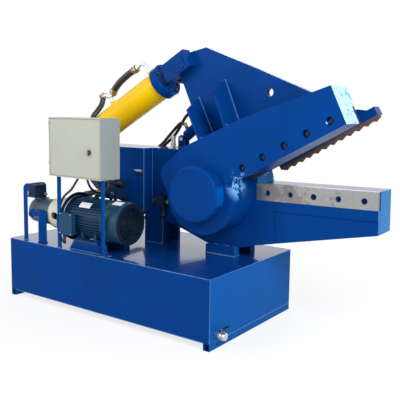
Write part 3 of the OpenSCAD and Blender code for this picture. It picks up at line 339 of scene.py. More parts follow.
def build_zone(t: Tree, given: bpy.types.NodeOutputs) -> Socket:
    """1 inside a ball about a place, falling to 0 at its radius."""
    ends = {0: given["Place"], 1: given["Middle"]}
    away = t.add("VectorMath", ends, operation="DISTANCE").outputs["Value"]
    inner = t.math("MULTIPLY", given["Radius"], t.math("SUBTRACT", 1.0, given["Softness"]))
    return t.ramp(away, given["Radius"], inner)


def build_side(t: Tree, given: bpy.types.NodeOutputs) -> Socket:
    """1 on faces that look one way, falling to 0 on those turned from it."""
    ways = {0: t.add("TexCoord").outputs["Normal"], 1: given["Way"]}
    facing = t.add("VectorMath", ways, operation="DOT_PRODUCT").outputs["Value"]
    return t.ramp(facing, 0.93, 0.97)


EFFECTS: dict[Effect, tuple[Callable, dict[str, object], str]] = {
    Effect.MOTTLE: (build_mottle, {"Place": None, "Scale": 4.0}, "Mask"),
    Effect.PATCHES: (build_patches, {"Place": None, "Scale": 9.0, "Amount": 0.5}, "Mask"),
    Effect.SCRATCHES: (
        build_scratches,
        {"Place": None, "Stretch": (1.0, 1.0, 1.0), "Scale": 20.0, "Amount": 0.5},
        "Mask",
    ),
    Effect.SKIN: (build_skin, {"Place": None, "Scale": 60.0, "Waviness": 3.0}, "Height"),
    Effect.ZONE: (
        build_zone, {"Place": None, "Middle": None, "Radius": 0.3, "Softness": 0.65}, "Mask"
    ),
    Effect.SIDE: (build_side, {"Way": (1.0, 0.0, 0.0)}, "Mask"),
}


# ---------------------------------------------------------------- finishes


@dataclass(frozen=True)
class PaintedLight:
    """A place where light or shade is painted into the colour, as a brighter or darker patch.

    Attributes:
        middle: Middle of the ball that it fills, in metres.
        radius: Radius of the ball.
        amount: How much of the ball the patch covers, in ragged pieces, full above 1.
        colour: Colour that shows there.
        softness: Share of the radius over which it fades.
        side: Way that the painted face looks, or None for every face.
    """

    middle: Point
    radius: float
    amount: float
    colour: Colour = (0.16, 0.32, 0.50)
    softness: float = 0.65
    side: Point | None = None


@dataclass(frozen=True)
class Finish:
    """What every finish has: a name, a colour and nodes that it is made of.

    Attributes:
        name: Name of the material.
        colour: Its main colour.
    """

    name: str
    colour: Colour

    def material(self) -> bpy.types.Material:
        """Builds the material, or finds it when it is built.

        Returns:
            The material.
        """
        found = bpy.data.materials.get(self.name)
        if found:
            return found
        made = bpy.data.materials.new(self.name)
        made.use_nodes = True
        t = Tree(made.node_tree)
        shader = made.node_tree.nodes["Principled BSDF"]
        self.dress(t, shader.inputs, t.add("TexCoord").outputs["Object"])
        return made

    def dress(self, t: Tree, skin: bpy.types.NodeInputs, place: Socket) -> None:
        """Adds the finish's own nodes.

        Args:
            t: Tree of the material.
            skin: Inputs of its shader.
            place: Place on the piece.
        """
        raise NotImplementedError


@dataclass(frozen=True)
class Paint(Finish):
    """Sprayed or brushed paint over metal.

    Attributes:
        shade: Colour of its darker or lighter clouds.
        roughness: Roughness of the coat.
        coat: Weight of the clear gloss that shows at a flat angle.
        level: Level of the reflection seen straight on.
        skin: Strength of the waviness.
        skin_scale: Fineness of the waviness.
        worn: Colour where it is rubbed.
        chips: How much is chipped all over.
        chip_scale: Fineness of the chips.
        painted_lights: Places where light or shade is painted into the colour.
    """

    CLOUD_SCALE = 3.2
    CLOUD_SHARE = 0.5
    ROUGHNESS_SPREAD = (0.85, 1.2)
    CHIP_ROUGHNESS = 0.25
    CHIP_DEPTH = 0.4
    GLOSS_ANGLES = (0.66, 0.8)
    GLOSS_ROUGHNESS = 0.07
    GLOSS_REFRACTION = 1.9
    WAVINESS = 3.0
    RELIEF = 0.002

    shade: Colour
    roughness: float = 0.3
    coat: float = 0.5
    level: float = 0.12
    skin: float = 0.1
    skin_scale: float = 60.0
    worn: Colour = (0.35, 0.5, 0.62)
    chips: float = 0.1
    chip_scale: float = 11.0
    painted_lights: tuple[PaintedLight, ...] = ()

    def painted_light_mask(self, t: Tree, place: Socket, painted_light: PaintedLight) -> Socket:
        """Gives the mask of one place where light or shade is painted.

        Args:
            t: Tree of the material.
            place: Place on the piece.
            painted_light: The place where light or shade is painted.

        Returns:
            1 where the light or shade is painted.
        """
        zone = t.effect(
            Effect.ZONE, Place=place, Middle=painted_light.middle, Radius=painted_light.radius, Softness=painted_light.softness
        )
        ragged = t.effect(Effect.PATCHES, Place=place, Scale=self.chip_scale, Amount=painted_light.amount)
        mask = t.math("MULTIPLY", zone, ragged)
        if painted_light.side is None:
            return mask
        return t.math("MULTIPLY", mask, t.effect(Effect.SIDE, Way=painted_light.side))

    def dress(self, t: Tree, skin: bpy.types.NodeInputs, place: Socket) -> None:
        """Adds clouds, chips, painted light and shade, gloss and waviness."""
        clouds = t.effect(Effect.MOTTLE, Place=place, Scale=self.CLOUD_SCALE)
        chips = t.effect(Effect.PATCHES, Place=place, Scale=self.chip_scale, Amount=self.chips)
        colour = t.mix(t.math("MULTIPLY", clouds, self.CLOUD_SHARE), self.colour, self.shade)
        colour = t.mix(chips, colour, self.worn)
        # Painted light and shade: brighter or darker patches mixed over the paint's colour.
        for painted_light in self.painted_lights:
            colour = t.mix(self.painted_light_mask(t, place, painted_light), colour, painted_light.colour)
        t.feed(skin["Base Color"], colour)
        rough = t.spread(clouds, *(self.roughness * share for share in self.ROUGHNESS_SPREAD))
        chipped = t.math("MULTIPLY", chips, self.CHIP_ROUGHNESS)
        t.feed(skin["Roughness"], t.math("ADD", rough, chipped))
        facing = t.add("LayerWeight", {"Blend": 0.5}).outputs["Facing"]
        gloss = t.math("MULTIPLY", t.ramp(facing, *self.GLOSS_ANGLES), self.coat)
        t.feed(skin["Coat Weight"], gloss)
        skin["Coat Roughness"].default_value = self.GLOSS_ROUGHNESS
        skin["Coat IOR"].default_value = self.GLOSS_REFRACTION
        skin["Specular IOR Level"].default_value = self.level
        waves = t.effect(
            Effect.SKIN, Place=place, Scale=self.skin_scale, Waviness=self.WAVINESS
        )
        sunk = t.math("SUBTRACT", waves, t.math("MULTIPLY", chips, self.CHIP_DEPTH))
        t.relief(sunk, self.skin, self.RELIEF)


@dataclass(frozen=True)
class Metal(Finish):
    """Bare metal: ground, cast, plated, rusted or chromed.

    Attributes:
        stain: Colour of its stains.
        roughness: Roughness between the stains.
        stained: How much of it is stained.
        grain: Stretch of the grinding marks.
        grit: Strength of the marks' relief.
        stain_scale: Fineness of the stains.
    """

    MARK_SCALE = 30.0
    MARK_AMOUNT = 0.8
    MARK_BRIGHTNESS = 1.15
    STAIN_DULLNESS = 0.85
    STAIN_ROUGHNESS = 0.35
    ROUGHEST = 0.85
    RELIEF = 0.0008

    stain: Colour
    roughness: float = 0.35
    stained: float = 0.4
    grain: Point = (1.0, 8.0, 8.0)
    grit: float = 0.2
    stain_scale: float = 8.0

    def dress(self, t: Tree, skin: bpy.types.NodeInputs, place: Socket) -> None:
        """Adds stains and grinding marks."""
        stains = t.effect(Effect.PATCHES, Place=place, Scale=self.stain_scale, Amount=self.stained)
        marks = t.effect(
            Effect.SCRATCHES,
            Place=place, Stretch=self.grain, Scale=self.MARK_SCALE, Amount=self.MARK_AMOUNT,
        )
        bright = tuple(min(1.0, c * self.MARK_BRIGHTNESS) for c in self.colour)
        t.feed(skin["Base Color"], t.mix(stains, t.mix(marks, self.colour, bright), self.stain))
        dull = t.math("MULTIPLY", stains, self.STAIN_DULLNESS)
        t.feed(skin["Metallic"], t.math("SUBTRACT", 1.0, dull))
        rougher = min(self.ROUGHEST, self.roughness + self.STAIN_ROUGHNESS)
        t.feed(skin["Roughness"], t.spread(stains, self.roughness, rougher))
        t.relief(t.math("ADD", marks, stains), self.grit, self.RELIEF)


@dataclass(frozen=True)
class Rubber(Finish):
    """Hose rubber or moulded plastic.

    Attributes:
        dust: Colour of the dust on it.
        roughness: Its roughness.
        fine: Fineness of its surface.
        relief: Strength of its surface.
    """

    DUST_SCALE = 14.0
    ROUGHNESS_SPREAD = (-0.08, 0.12)
    WAVINESS = 0.5
    RELIEF = 0.001

    dust: Colour = (0.09, 0.09, 0.09)
    roughness: float = 0.45
    fine: float = 300.0
    relief: float = 0.15

    def dress(self, t: Tree, skin: bpy.types.NodeInputs, place: Socket) -> None:
        """Adds dust and a fine grain."""
        clouds = t.effect(Effect.MOTTLE, Place=place, Scale=self.DUST_SCALE)
        t.feed(skin["Base Color"], t.mix(clouds, self.colour, self.dust))
        rough = t.spread(clouds, *(self.roughness + more for more in self.ROUGHNESS_SPREAD))
        t.feed(skin["Roughness"], rough)
        grain = t.effect(Effect.SKIN, Place=place, Scale=self.fine, Waviness=self.WAVINESS)
        t.relief(grain, self.relief, self.RELIEF)


ENAMEL: Colour = (0.0005, 0.042, 0.22)
ENAMEL_DEEP: Colour = (0.001, 0.032, 0.15)
ENAMEL_RUBBED: Colour = (0.16, 0.32, 0.50)

# Ways that faces with painted highlights or painted shade look, and places on them in the shared
# frame.
NOSE_WAY = (0.902, 0.0, 0.431)
JAW_WAY = (1.0, 0.0, 0.0)
HOUSING_WAY = (0.967, 0.0, 0.256)
NOSE = (1.241, -0.002, 1.599)
HOUSING = (0.535, 0.239, 1.10)
FAN = (-0.274, -0.324, 0.705)
# Painted highlight: every face that looks along +X is painted a lighter blue, standing for the
# light falling from that side.
PAINTED_END_HIGHLIGHT = PaintedLight((0.0, 0.0, 0.8), 3.0, 3.0, (0.0005, 0.085, 0.33), 0.1, JAW_WAY)

FINISHES: dict[str, Finish] = {
    "blue": Paint(
        "blue_enamel", ENAMEL, ENAMEL_DEEP, roughness=0.27, coat=0.95, level=0.03, skin=0.1,
        skin_scale=45.0, worn=ENAMEL_RUBBED, chips=0.02, chip_scale=9.0, painted_lights=(PAINTED_END_HIGHLIGHT,),
    ),
    "frame_blue": Paint(
        "frame_enamel", ENAMEL, ENAMEL_DEEP, roughness=0.3, coat=0.7, level=0.03, skin=0.12,
        skin_scale=40.0, worn=ENAMEL_RUBBED, chips=0.03, chip_scale=11.0,
        painted_lights=(
            # Painted highlights: the jaw's end face is painted a lighter blue, and the jaw
            # housing's side a brighter blue with near-white ragged patches of painted reflection.
            PaintedLight((1.431, 0.240, 0.97), 0.3, 3.0, (0.018, 0.16, 0.42), softness=0.1, side=JAW_WAY),
            PaintedLight(HOUSING, 0.20, 3.0, (0.010, 0.16, 0.46), softness=0.2, side=HOUSING_WAY),
            PaintedLight(HOUSING, 0.20, 0.52, (0.40, 0.68, 0.90), softness=0.2, side=HOUSING_WAY),
        ),
    ),
    "arm_blue": Paint(
        "arm_enamel", ENAMEL, ENAMEL_DEEP, roughness=0.32, coat=0.04, level=0.03, skin=0.12,
        skin_scale=40.0, worn=ENAMEL_RUBBED, chips=0.03, chip_scale=14.0,
        painted_lights=(
            # Painted highlight: the nose end is painted a lighter blue with pale ragged patches.
            PaintedLight(NOSE, 0.3, 3.0, (0.17, 0.43, 0.67), softness=0.1, side=NOSE_WAY),
            PaintedLight(NOSE, 0.3, 0.74, (0.46, 0.66, 0.76), softness=0.1, side=NOSE_WAY),
            # Painted reflection: a ragged light cyan patch on the hub's top right.
            PaintedLight((0.54, -0.085, 1.05), 0.14, 0.62, (0.16, 0.45, 0.80), softness=0.6),
        ),
    ),
    "blade_steel": Metal(
        "blade_ground", (0.33, 0.33, 0.33), (0.22, 0.205, 0.19), roughness=0.42, stained=0.5,
        grain=(1.0, 6.0, 6.0), grit=0.2, stain_scale=5.0,
    ),
    "rusty_steel": Metal(
        "rusty_teeth", (0.20, 0.135, 0.12), (0.12, 0.06, 0.05), roughness=0.55, stained=0.95,
        grain=(4.0, 4.0, 4.0), grit=0.5, stain_scale=14.0,
    ),
    "bronze": Metal(
        "bush_bronze", (0.72, 0.50, 0.20), (0.30, 0.20, 0.08), roughness=0.35, stained=0.2,
    ),
    "zinc_steel": Metal(
        "zinc_plate", (0.60, 0.61, 0.62), (0.36, 0.35, 0.33), roughness=0.32, stained=0.2,
        grain=(3.0, 3.0, 3.0), grit=0.1, stain_scale=20.0,
    ),
    "ground_steel": Metal(
        "turned_steel", (0.56, 0.56, 0.57), (0.28, 0.25, 0.22), roughness=0.32, stained=0.2,
    ),
    "chrome_rod": Metal(
        "hard_chrome", (0.82, 0.82, 0.84), (0.55, 0.54, 0.52), roughness=0.12, stained=0.05,
        grain=(8.0, 1.0, 1.0), grit=0.03,
    ),
    "yellow": Paint(
        "cylinder_yellow", (0.90, 0.55, 0.003), (0.84, 0.48, 0.003), roughness=0.25, coat=0.7,
        level=0.2, skin=0.06, skin_scale=50.0, worn=(0.45, 0.3, 0.05), chips=0.02,
    ),
    "beige": Paint(
        "box_beige", (0.43, 0.445, 0.375), (0.40, 0.41, 0.345), roughness=0.45, coat=0.1,
        level=0.12, skin=0.08, skin_scale=220.0, worn=(0.4, 0.4, 0.36), chips=0.0,
    ),
    "box_beige": Paint(
        "case_beige", (0.43, 0.445, 0.375), (0.40, 0.41, 0.345), roughness=0.45, coat=0.1,
        level=0.12, skin=0.08, skin_scale=220.0, worn=(0.4, 0.4, 0.36), chips=0.0, chip_scale=9.0,
        painted_lights=(
            # Painted shade: the box's side that looks along +X is painted a darker grey.
            PaintedLight((-0.37, -0.39, 1.26), 0.5, 3.0, (0.28, 0.32, 0.30), softness=0.1, side=JAW_WAY),
        ),
    ),
    "teal": Paint(
        "motor_teal", (0.009, 0.052, 0.125), (0.009, 0.038, 0.08), roughness=0.36, coat=0.35,
        level=0.15, skin=0.12, skin_scale=90.0, worn=(0.14, 0.2, 0.25), chips=0.05,
    ),
    "cream": Paint(
        "bellhousing_cream", (0.66, 0.63, 0.53), (0.52, 0.49, 0.41), roughness=0.6, coat=0.0,
        level=0.2, skin=0.4, skin_scale=120.0, worn=(0.25, 0.22, 0.18), chips=0.2,
    ),
    "pump_grey": Paint(
        "pump_paint", (0.055, 0.095, 0.13), (0.035, 0.06, 0.09), roughness=0.38, coat=0.25,
        level=0.35, skin=0.25, skin_scale=110.0, worn=(0.2, 0.23, 0.26), chips=0.12,
    ),
    "valve_blue": Paint(
        "valve_paint", (0.008, 0.030, 0.075), (0.006, 0.02, 0.05), roughness=0.35, coat=0.3,
        level=0.2, skin=0.2, skin_scale=90.0, worn=(0.2, 0.23, 0.26), chips=0.08,
    ),
    "black_rubber": Rubber(
        "hose_rubber", (0.008, 0.008, 0.009), (0.02, 0.02, 0.02), roughness=0.38,
    ),
    "black_plastic": Rubber(
        "dull_plastic", (0.012, 0.012, 0.013), (0.03, 0.03, 0.03), roughness=0.42, fine=500.0,
        relief=0.1,
    ),
    "cast_hub": Metal(
        "hub_iron", (0.30, 0.30, 0.31), (0.16, 0.14, 0.12), roughness=0.5, stained=0.4,
        grain=(2.0, 2.0, 2.0), grit=0.4, stain_scale=20.0,
    ),
    "red_grip": Paint(
        "lever_red", (0.45, 0.02, 0.015), (0.35, 0.015, 0.01), roughness=0.35, coat=0.3, level=0.2,
        skin=0.05,
    ),
    "blank_plate": Paint(
        "blank_plate", (0.80, 0.80, 0.79), (0.72, 0.72, 0.71), roughness=0.35, coat=0.1, level=0.2,
        skin=0.03, skin_scale=200.0, worn=(0.4, 0.4, 0.4), chips=0.05,
    ),
    # Painted shade: the upper blade hangs in the arm's shade and is painted a near-black blue
    # instead of bare steel.
    "shaded_steel": Paint(
        "blade_painted_shade", (0.030, 0.036, 0.060), (0.020, 0.022, 0.036), roughness=0.6, coat=0.0,
        level=0.05, skin=0.2, skin_scale=60.0, worn=(0.16, 0.16, 0.17), chips=0.25,
    ),
    # Painted shade: a near-black blue for bolts sunk in their holes, standing for the shade inside
    # them; the gland bolts, the drain lever, the motor's front shield and its flange rim get the
    # same darkened blue.
    "recess_shade_blue": Paint(
        "recess_shade_blue", (0.001, 0.012, 0.05), (0.001, 0.008, 0.03), roughness=0.35, coat=0.3,
        level=0.3, skin=0.1,
    ),
    "cowl_blue": Paint(
        "cowl_blue", (0.010, 0.050, 0.088), (0.007, 0.034, 0.062), roughness=0.33, coat=0.4,
        level=0.15, skin=0.1, skin_scale=90.0, worn=(0.14, 0.2, 0.25), chips=0.04,
        painted_lights=(
            # Painted shade: the cowl's fan end, which looks along +X, is painted near black.
            PaintedLight(FAN, 0.6, 3.0, (0.008, 0.014, 0.030), softness=0.3, side=JAW_WAY),
        ),
    ),
    # Painted reflection: the ferrules' brown tint stands for the yellow cylinder mirrored in them.
    "crimp": Metal(
        "crimp", (0.30, 0.22, 0.17), (0.18, 0.12, 0.09), roughness=0.3, stained=0.3,
        grain=(3.0, 3.0, 3.0), grit=0.1, stain_scale=30.0,
    ),
    # The beads are real seams, but their blue is lighter than the enamel: painted highlight, for
    # the bright lines that seams and edges catch.
    "bead": Paint(
        "weld_bead", (0.05, 0.15, 0.36), (0.02, 0.08, 0.26), roughness=0.3, coat=0.5, level=0.5,
        skin=0.2, skin_scale=200.0, worn=ENAMEL_RUBBED, chips=0.25, chip_scale=30.0,
    ),
    "dark_steel": Metal(
        "dark_steel", (0.20, 0.20, 0.21), (0.08, 0.07, 0.07), roughness=0.3, stained=0.3,
        grain=(3.0, 3.0, 3.0), grit=0.2, stain_scale=30.0,
    ),
    "gasket": Rubber("door_gasket", (0.02, 0.02, 0.022), (0.04, 0.04, 0.04), roughness=0.6),
}
NODE_FINISH = {
    "main_frame": "frame_blue",
    "upper_arm": "arm_blue",
    "coupling_spider": "red_grip",
    "drain_lever": "recess_shade_blue",
    "drain_valve": "zinc_steel",
    "deck_bolts": "blue",
    # Painted shade: the blade bolts sit deep in their holes and take a darkened blue.
    "upper_blade_bolts": "recess_shade_blue",
    # Painted shade: the upper blade takes a darkened colour for the shade under the arm.
    "upper_blade": "shaded_steel",
    "control_box": "box_beige",
    "fan_cowl": "cowl_blue",
    "door_lock": "dark_steel",
    "gland_bolts": "recess_shade_blue",
    "motor_front_shield": "recess_shade_blue",
}


# ---------------------------------------------------------------- making pieces


def deselect() -> None:
    """Deselects everything, leaves edit mode and makes later selections go by face."""
    if bpy.context.object and bpy.context.object.mode != "OBJECT":
        bpy.ops.object.mode_set(mode="OBJECT")
    bpy.context.tool_settings.mesh_select_mode = (False, False, True)
    for one in bpy.context.selected_objects:
        one.select_set(False)


def smooth_shade(degrees: float) -> None:
    """Smooths the active piece's shading where its faces meet at less than an angle."""
    bpy.ops.object.shade_smooth_by_angle(angle=math.radians(degrees))


def settle(piece: Piece, name: str, finish: str, body: str) -> Piece:
    """Gives a finished piece its name, place at the origin, material and body.

    Args:
        piece: The piece.
        name: Its name.
        finish: The finish's key.
        body: The body it rides on.

    Returns:
        The piece.
    """
    piece.name = piece.data.name = name
    piece.data.transform(piece.matrix_world)
    piece.matrix_world = Matrix.Identity(4)
    piece.data.materials.clear()
    piece.data.materials.append(FINISHES[finish].material())
    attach(piece, body)
    LOG.info("%s: %d faces", name, len(piece.data.polygons))
    return piece


def smooth_line(points: Sequence[Vector], steps: int) -> list[Vector]:
    """Runs a smooth line through the points.

    Args:
        points: The points.
        steps: Stretches between two points.

    Returns:
        The line's points.
    """
    line: list[Vector] = []
    last = len(points) - 1
    for i in range(last):
        a, b, c, d = points[max(i - 1, 0)], points[i], points[i + 1], points[min(i + 2, last)]
        first, second, third = c - a, 2 * a - 5 * b + 4 * c - d, 3 * b - a - 3 * c + d
        for k in range(steps):
            t = k / steps
            line.append(0.5 * (2 * b + first * t + second * t * t + third * t * t * t))
    line.append(points[last])
    return line


def tube(line: Sequence[Vector], radius: float | Sequence[float], sides: int) -> Piece:
    """Makes a closed round tube along a line.

    Args:
        line: Its points in metres.
        radius: One radius, or one for each point.
        sides: Bevel resolution, which gives twice as many sides and 4 more.

    Returns:
        The tube.
    """
    curve = bpy.data.curves.new("tube", "CURVE")
    curve.dimensions = "3D"
    curve.bevel_depth = 1.0
    curve.bevel_resolution = sides
    curve.use_fill_caps = True
    spline = curve.splines.new("POLY")
    spline.points.add(len(line) - 1)
    for i, p in enumerate(line):
        spline.points[i].co = (*p, 1.0)
        spline.points[i].radius = radius if isinstance(radius, (int, float)) else radius[i]
    made = bpy.data.objects.new("tube", curve)
    bpy.context.scene.collection.objects.link(made)
    deselect()
    made.select_set(True)
    bpy.context.view_layer.objects.active = made
    bpy.ops.object.convert(target="MESH")
    smooth_shade(50)
    return bpy.context.object


def join(pieces: Sequence[Piece]) -> Piece:
    """Joins mesh objects into the first one."""
    deselect()
    for one in pieces:
        one.select_set(True)
    bpy.context.view_layer.objects.active = pieces[0]
    bpy.ops.object.join()
    return bpy.context.object


def rounded_box(low: Vector, high: Vector, bevel: float) -> Piece:
    """Makes a box with rounded edges between two corners.

    Args:
        low: Lowest corner.
        high: Highest corner.
        bevel: Radius of its edges.

    Returns:
        The box.
    """
    deselect()
    middle = (low + high) / 2
    bpy.ops.mesh.primitive_cube_add(size=1.0, location=middle)
    bpy.ops.object.mode_set(mode="EDIT")
    bpy.ops.mesh.select_all(action="SELECT")
    bpy.ops.transform.resize(value=high - low, center_override=middle)
    bpy.ops.mesh.bevel(offset=bevel, segments=2, affect="EDGES")
    bpy.ops.object.mode_set(mode="OBJECT")
    smooth_shade(40)
    return bpy.context.object


def cylinder(middle: Vector, turned: Euler, **sizes: object) -> Piece:
    """Adds a cylinder with its place and turn in its mesh.

    Args:
        middle: Its middle.
        turned: Its turn.
        **sizes: Its radius, depth, vertices and ends.

    Returns:
        The cylinder.
    """
    deselect()
    bpy.ops.mesh.primitive_cylinder_add(location=middle, rotation=turned, **sizes)
    bpy.ops.object.transform_apply(location=True, rotation=True, scale=True)
    return bpy.context.object


def pick_faces(piece: Piece, chosen: Callable[[bpy.types.MeshPolygon], bool]) -> None:
    """Enters edit mode with only the chosen faces selected."""
    bpy.ops.object.mode_set(mode="EDIT")
    bpy.ops.mesh.select_all(action="DESELECT")
    bpy.ops.object.mode_set(mode="OBJECT")
    for face in piece.data.polygons:
        face.select = chosen(face)
    bpy.ops.object.mode_set(mode="EDIT")


def bevel_rims(bevel: float, segments: int) -> None:
    """Bevels the outline of the selected faces and leaves edit mode."""
    bpy.ops.mesh.region_to_loop()
    bpy.ops.mesh.bevel(offset=bevel, segments=segments, affect="EDGES")
    bpy.ops.object.mode_set(mode="OBJECT")
    smooth_shade(35)


def thicken(piece: Piece, thickness: float) -> None:
    """Gives a skin its thickness, outwards."""
    wall = piece.modifiers.new("wall", "SOLIDIFY")
    wall.thickness = thickness
    wall.offset = 1.0
    bpy.ops.object.modifier_apply(modifier=wall.name)


def round_piece(start: Vector, end: Vector, radius: float, bevel: float, corners: int) -> Piece:
    """Makes a round or many-sided piece with bevelled rims between two points.

    Args:
        start: Middle of one end.
        end: Middle of the other end.
        radius: Its radius.
        bevel: Size of the bevel on its rims.
        corners: Number of sides.

    Returns:
        The piece.
    """
    along = end - start
    way = along.normalized()
    made = cylinder(
        (start + end) / 2, along.to_track_quat("Z", "Y").to_euler(),
        radius=radius, depth=along.length, vertices=corners,
    )
    pick_faces(made, lambda face: abs(face.normal.dot(way)) > ALIGNED)
    bevel_rims(bevel, 2)
    return made


def flat_ring(middle: Vector, width: float, radii: tuple[float, float], bevel: float) -> Piece:
    """Makes a flat ring round a line along X with bevelled outer rims.

    Args:
        middle: Its middle.
        width: Its size along the line.
        radii: Radii of its hole and of its rim.
        bevel: Size of the bevel.

    Returns:
        The ring.
    """
    hole, rim = radii
    made = cylinder(
        middle, ALONG_X, radius=hole, depth=width, vertices=96, end_fill_type="NOTHING"
    )
    thicken(made, rim - hole)
    pick_faces(made, lambda face: face.normal.dot((face.center - middle).normalized()) > ALIGNED)
    bevel_rims(bevel, 1)
    return made


def weld_bead(line: Sequence[Vector], size: float) -> Piece:
    """Makes a rippled weld bead along a line.

    Args:
        line: Corners of the seam in metres.
        size: Radius of the bead in millimetres.

    Returns:
        The bead.
    """
    points: list[Vector] = []
    for a, b in zip(line[:-1], line[1:]):
        count = max(2, int((b - a).length / BEAD_STEP))
        points += [a + (b - a) * (i / count) for i in range(count)]
    points.append(line[-1])
    radii = [
        size * MM * sum((share * math.sin(pitch * i) for share, pitch in RIPPLES), 1.0)
        for i in range(len(points))
    ]
    return tube(points, radii, sides=1)


@dataclass(frozen=True)
class Turned:
    """One round or many-sided piece, in millimetres.

    Attributes:
        start: Middle of one end.
        end: Middle of the other end.
        radius: Its radius.
        bevel: Size of the bevel on its rims.
        corners: Number of its sides.
    """

    start: Point
    end: Point
    radius: float
    bevel: float = 2
    corners: int = ROUND

    def make(self, at: Place) -> Piece:
        """Makes the piece."""
        ends = at(*self.start), at(*self.end)
        return round_piece(*ends, self.radius * MM, self.bevel * MM, self.corners)


@dataclass(frozen=True)
class Fitting:
    """One named piece that is made of turned ones.

    Attributes:
        name: Its name.
        finish: Key of its finish.
        parts: The turned pieces.
        body: The body it rides on.
    """

    name: str
    finish: str
    parts: tuple[Turned, ...]
    body: str = "root"

    def build(self, at: Place) -> None:
        """Makes the fitting."""
        settle(join([part.make(at) for part in self.parts]), self.name, self.finish, self.body)


@dataclass(frozen=True)
class Screws:
    """Hexagon heads that face one way and make one named piece, in millimetres.

    Attributes:
        name: Its name.
        finish: Key of its finish.
        way: Direction in which the heads stand out.
        radius: Radius over the corners of a head.
        height: Height of a head.
        places: Where the heads stand.
        body: The body they ride on.
        washer: Whether there is a washer under each.
    """

    WASHER_HEIGHT = 2.5
    WASHER_REACH = 1.25
    WASHER_BEVEL = 0.5
    WASHER_CORNERS = 20
    HEAD_BEVEL = 0.12

    name: str
    finish: str
    way: Point
    radius: float
    height: float
    places: tuple[Point, ...]
    body: str = "root"
    washer: bool = False

    def make(self, at: Place) -> Piece:
        """Makes the heads as one piece."""
        made = []
        way = Vector(self.way)
        size = self.radius * MM
        for place in self.places:
            base = at(*place)
            if self.washer:
                top = base + way * self.WASHER_HEIGHT * MM
                wide, bevel = size * self.WASHER_REACH, self.WASHER_BEVEL * MM
                made.append(round_piece(base, top, wide, bevel, self.WASHER_CORNERS))
                base = top
            top = base + way * self.height * MM
            made.append(round_piece(base, top, size, size * self.HEAD_BEVEL, HEX))
        return join(made)

    def build(self, at: Place) -> None:
        """Makes and settles the heads."""
        settle(self.make(at), self.name, self.finish, self.body)


def around(middle: Point, radius: float, angles: Iterable[float]) -> tuple[Point, ...]:
    """Spreads places on a circle about a line along X.

    Args:
        middle: Middle of the circle.
        radius: Its radius.
        angles: Angle of each place in degrees, from the back upwards.

    Returns:
        The places.
    """
    x, y, z = middle
    turns = [math.radians(angle) for angle in angles]
    return tuple((x, y + radius * math.cos(a), z + radius * math.sin(a)) for a in turns)


# ---------------------------------------------------------------- sub-assemblies


@dataclass(frozen=True)
class Hose:
    """One hose or cable, in millimetres.

    Attributes:
        name: Its name.
        radius: Its radius.
        points: Its route.
        ferrules: Whether its ends have crimped ferrules.
        body: Body it rides on, unless it has a second body.
        other: A second body; where one is given, the hose's pieces are unparented and follow no
            body.
        bend: Two points for a bend between the two bodies; they are read but change nothing.
        stands_for: Node of the frame that it stands for.
    """

    SLEEVE = (1.14, 0.1)
    HEXAGON = (1.32, 0.08)
    SLEEVE_LENGTH = 3.0
    LONGEST_SLEEVE = 44
    LIP = 0.0003

    name: str
    radius: float
    points: Line
    ferrules: bool = True
    body: str = "root"
    other: str = ""
    bend: tuple[Point, ...] = ()
    stands_for: str = ""

    def ferrule(self, tip: Vector, inner: Vector, tag: str) -> Piece:
        """Makes the crimped sleeve and its hexagon at one end.

        Args:
            tip: End of the hose.
            inner: Place a little further in.
            tag: Ending of its name.

        Returns:
            The ferrule.
        """
        way = (inner - tip).normalized()
        size = self.radius * MM
        length = min(self.SLEEVE_LENGTH * size, self.LONGEST_SLEEVE * MM)
        rows = (
            (self.LIP, length, *self.SLEEVE, ROUND),
            (length * 0.05, length * 0.4, *self.HEXAGON, HEX),
        )
        pieces = [
            round_piece(tip + way * low, tip + way * high, size * wide, size * bevel, sides)
            for low, high, wide, bevel, sides in rows
        ]
        return settle(join(pieces), f"{self.name}_ferrule_{tag}", "crimp", self.body)

    def build(self, at: Place) -> None:
        """Makes the hose and its ferrules; where there is a second body it unparents them and bakes
        their place.
        """
        line = smooth_line([at(*p) for p in self.points], steps=7)
        hose = tube(line, self.radius * MM, sides=5)
        parts = [settle(hose, self.name, "black_rubber", self.body)]
        if self.ferrules:
            parts.append(self.ferrule(line[0], line[4], "a"))
            parts.append(self.ferrule(line[-1], line[-5], "b"))
        if self.other:
            start, end = (tuple(at(*p)) for p in self.bend)
            for part in parts:
                part.parent = None
                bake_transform(part)
                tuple(start)
                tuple(end)
        if self.stands_for:
            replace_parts(parts[0], self.stands_for)


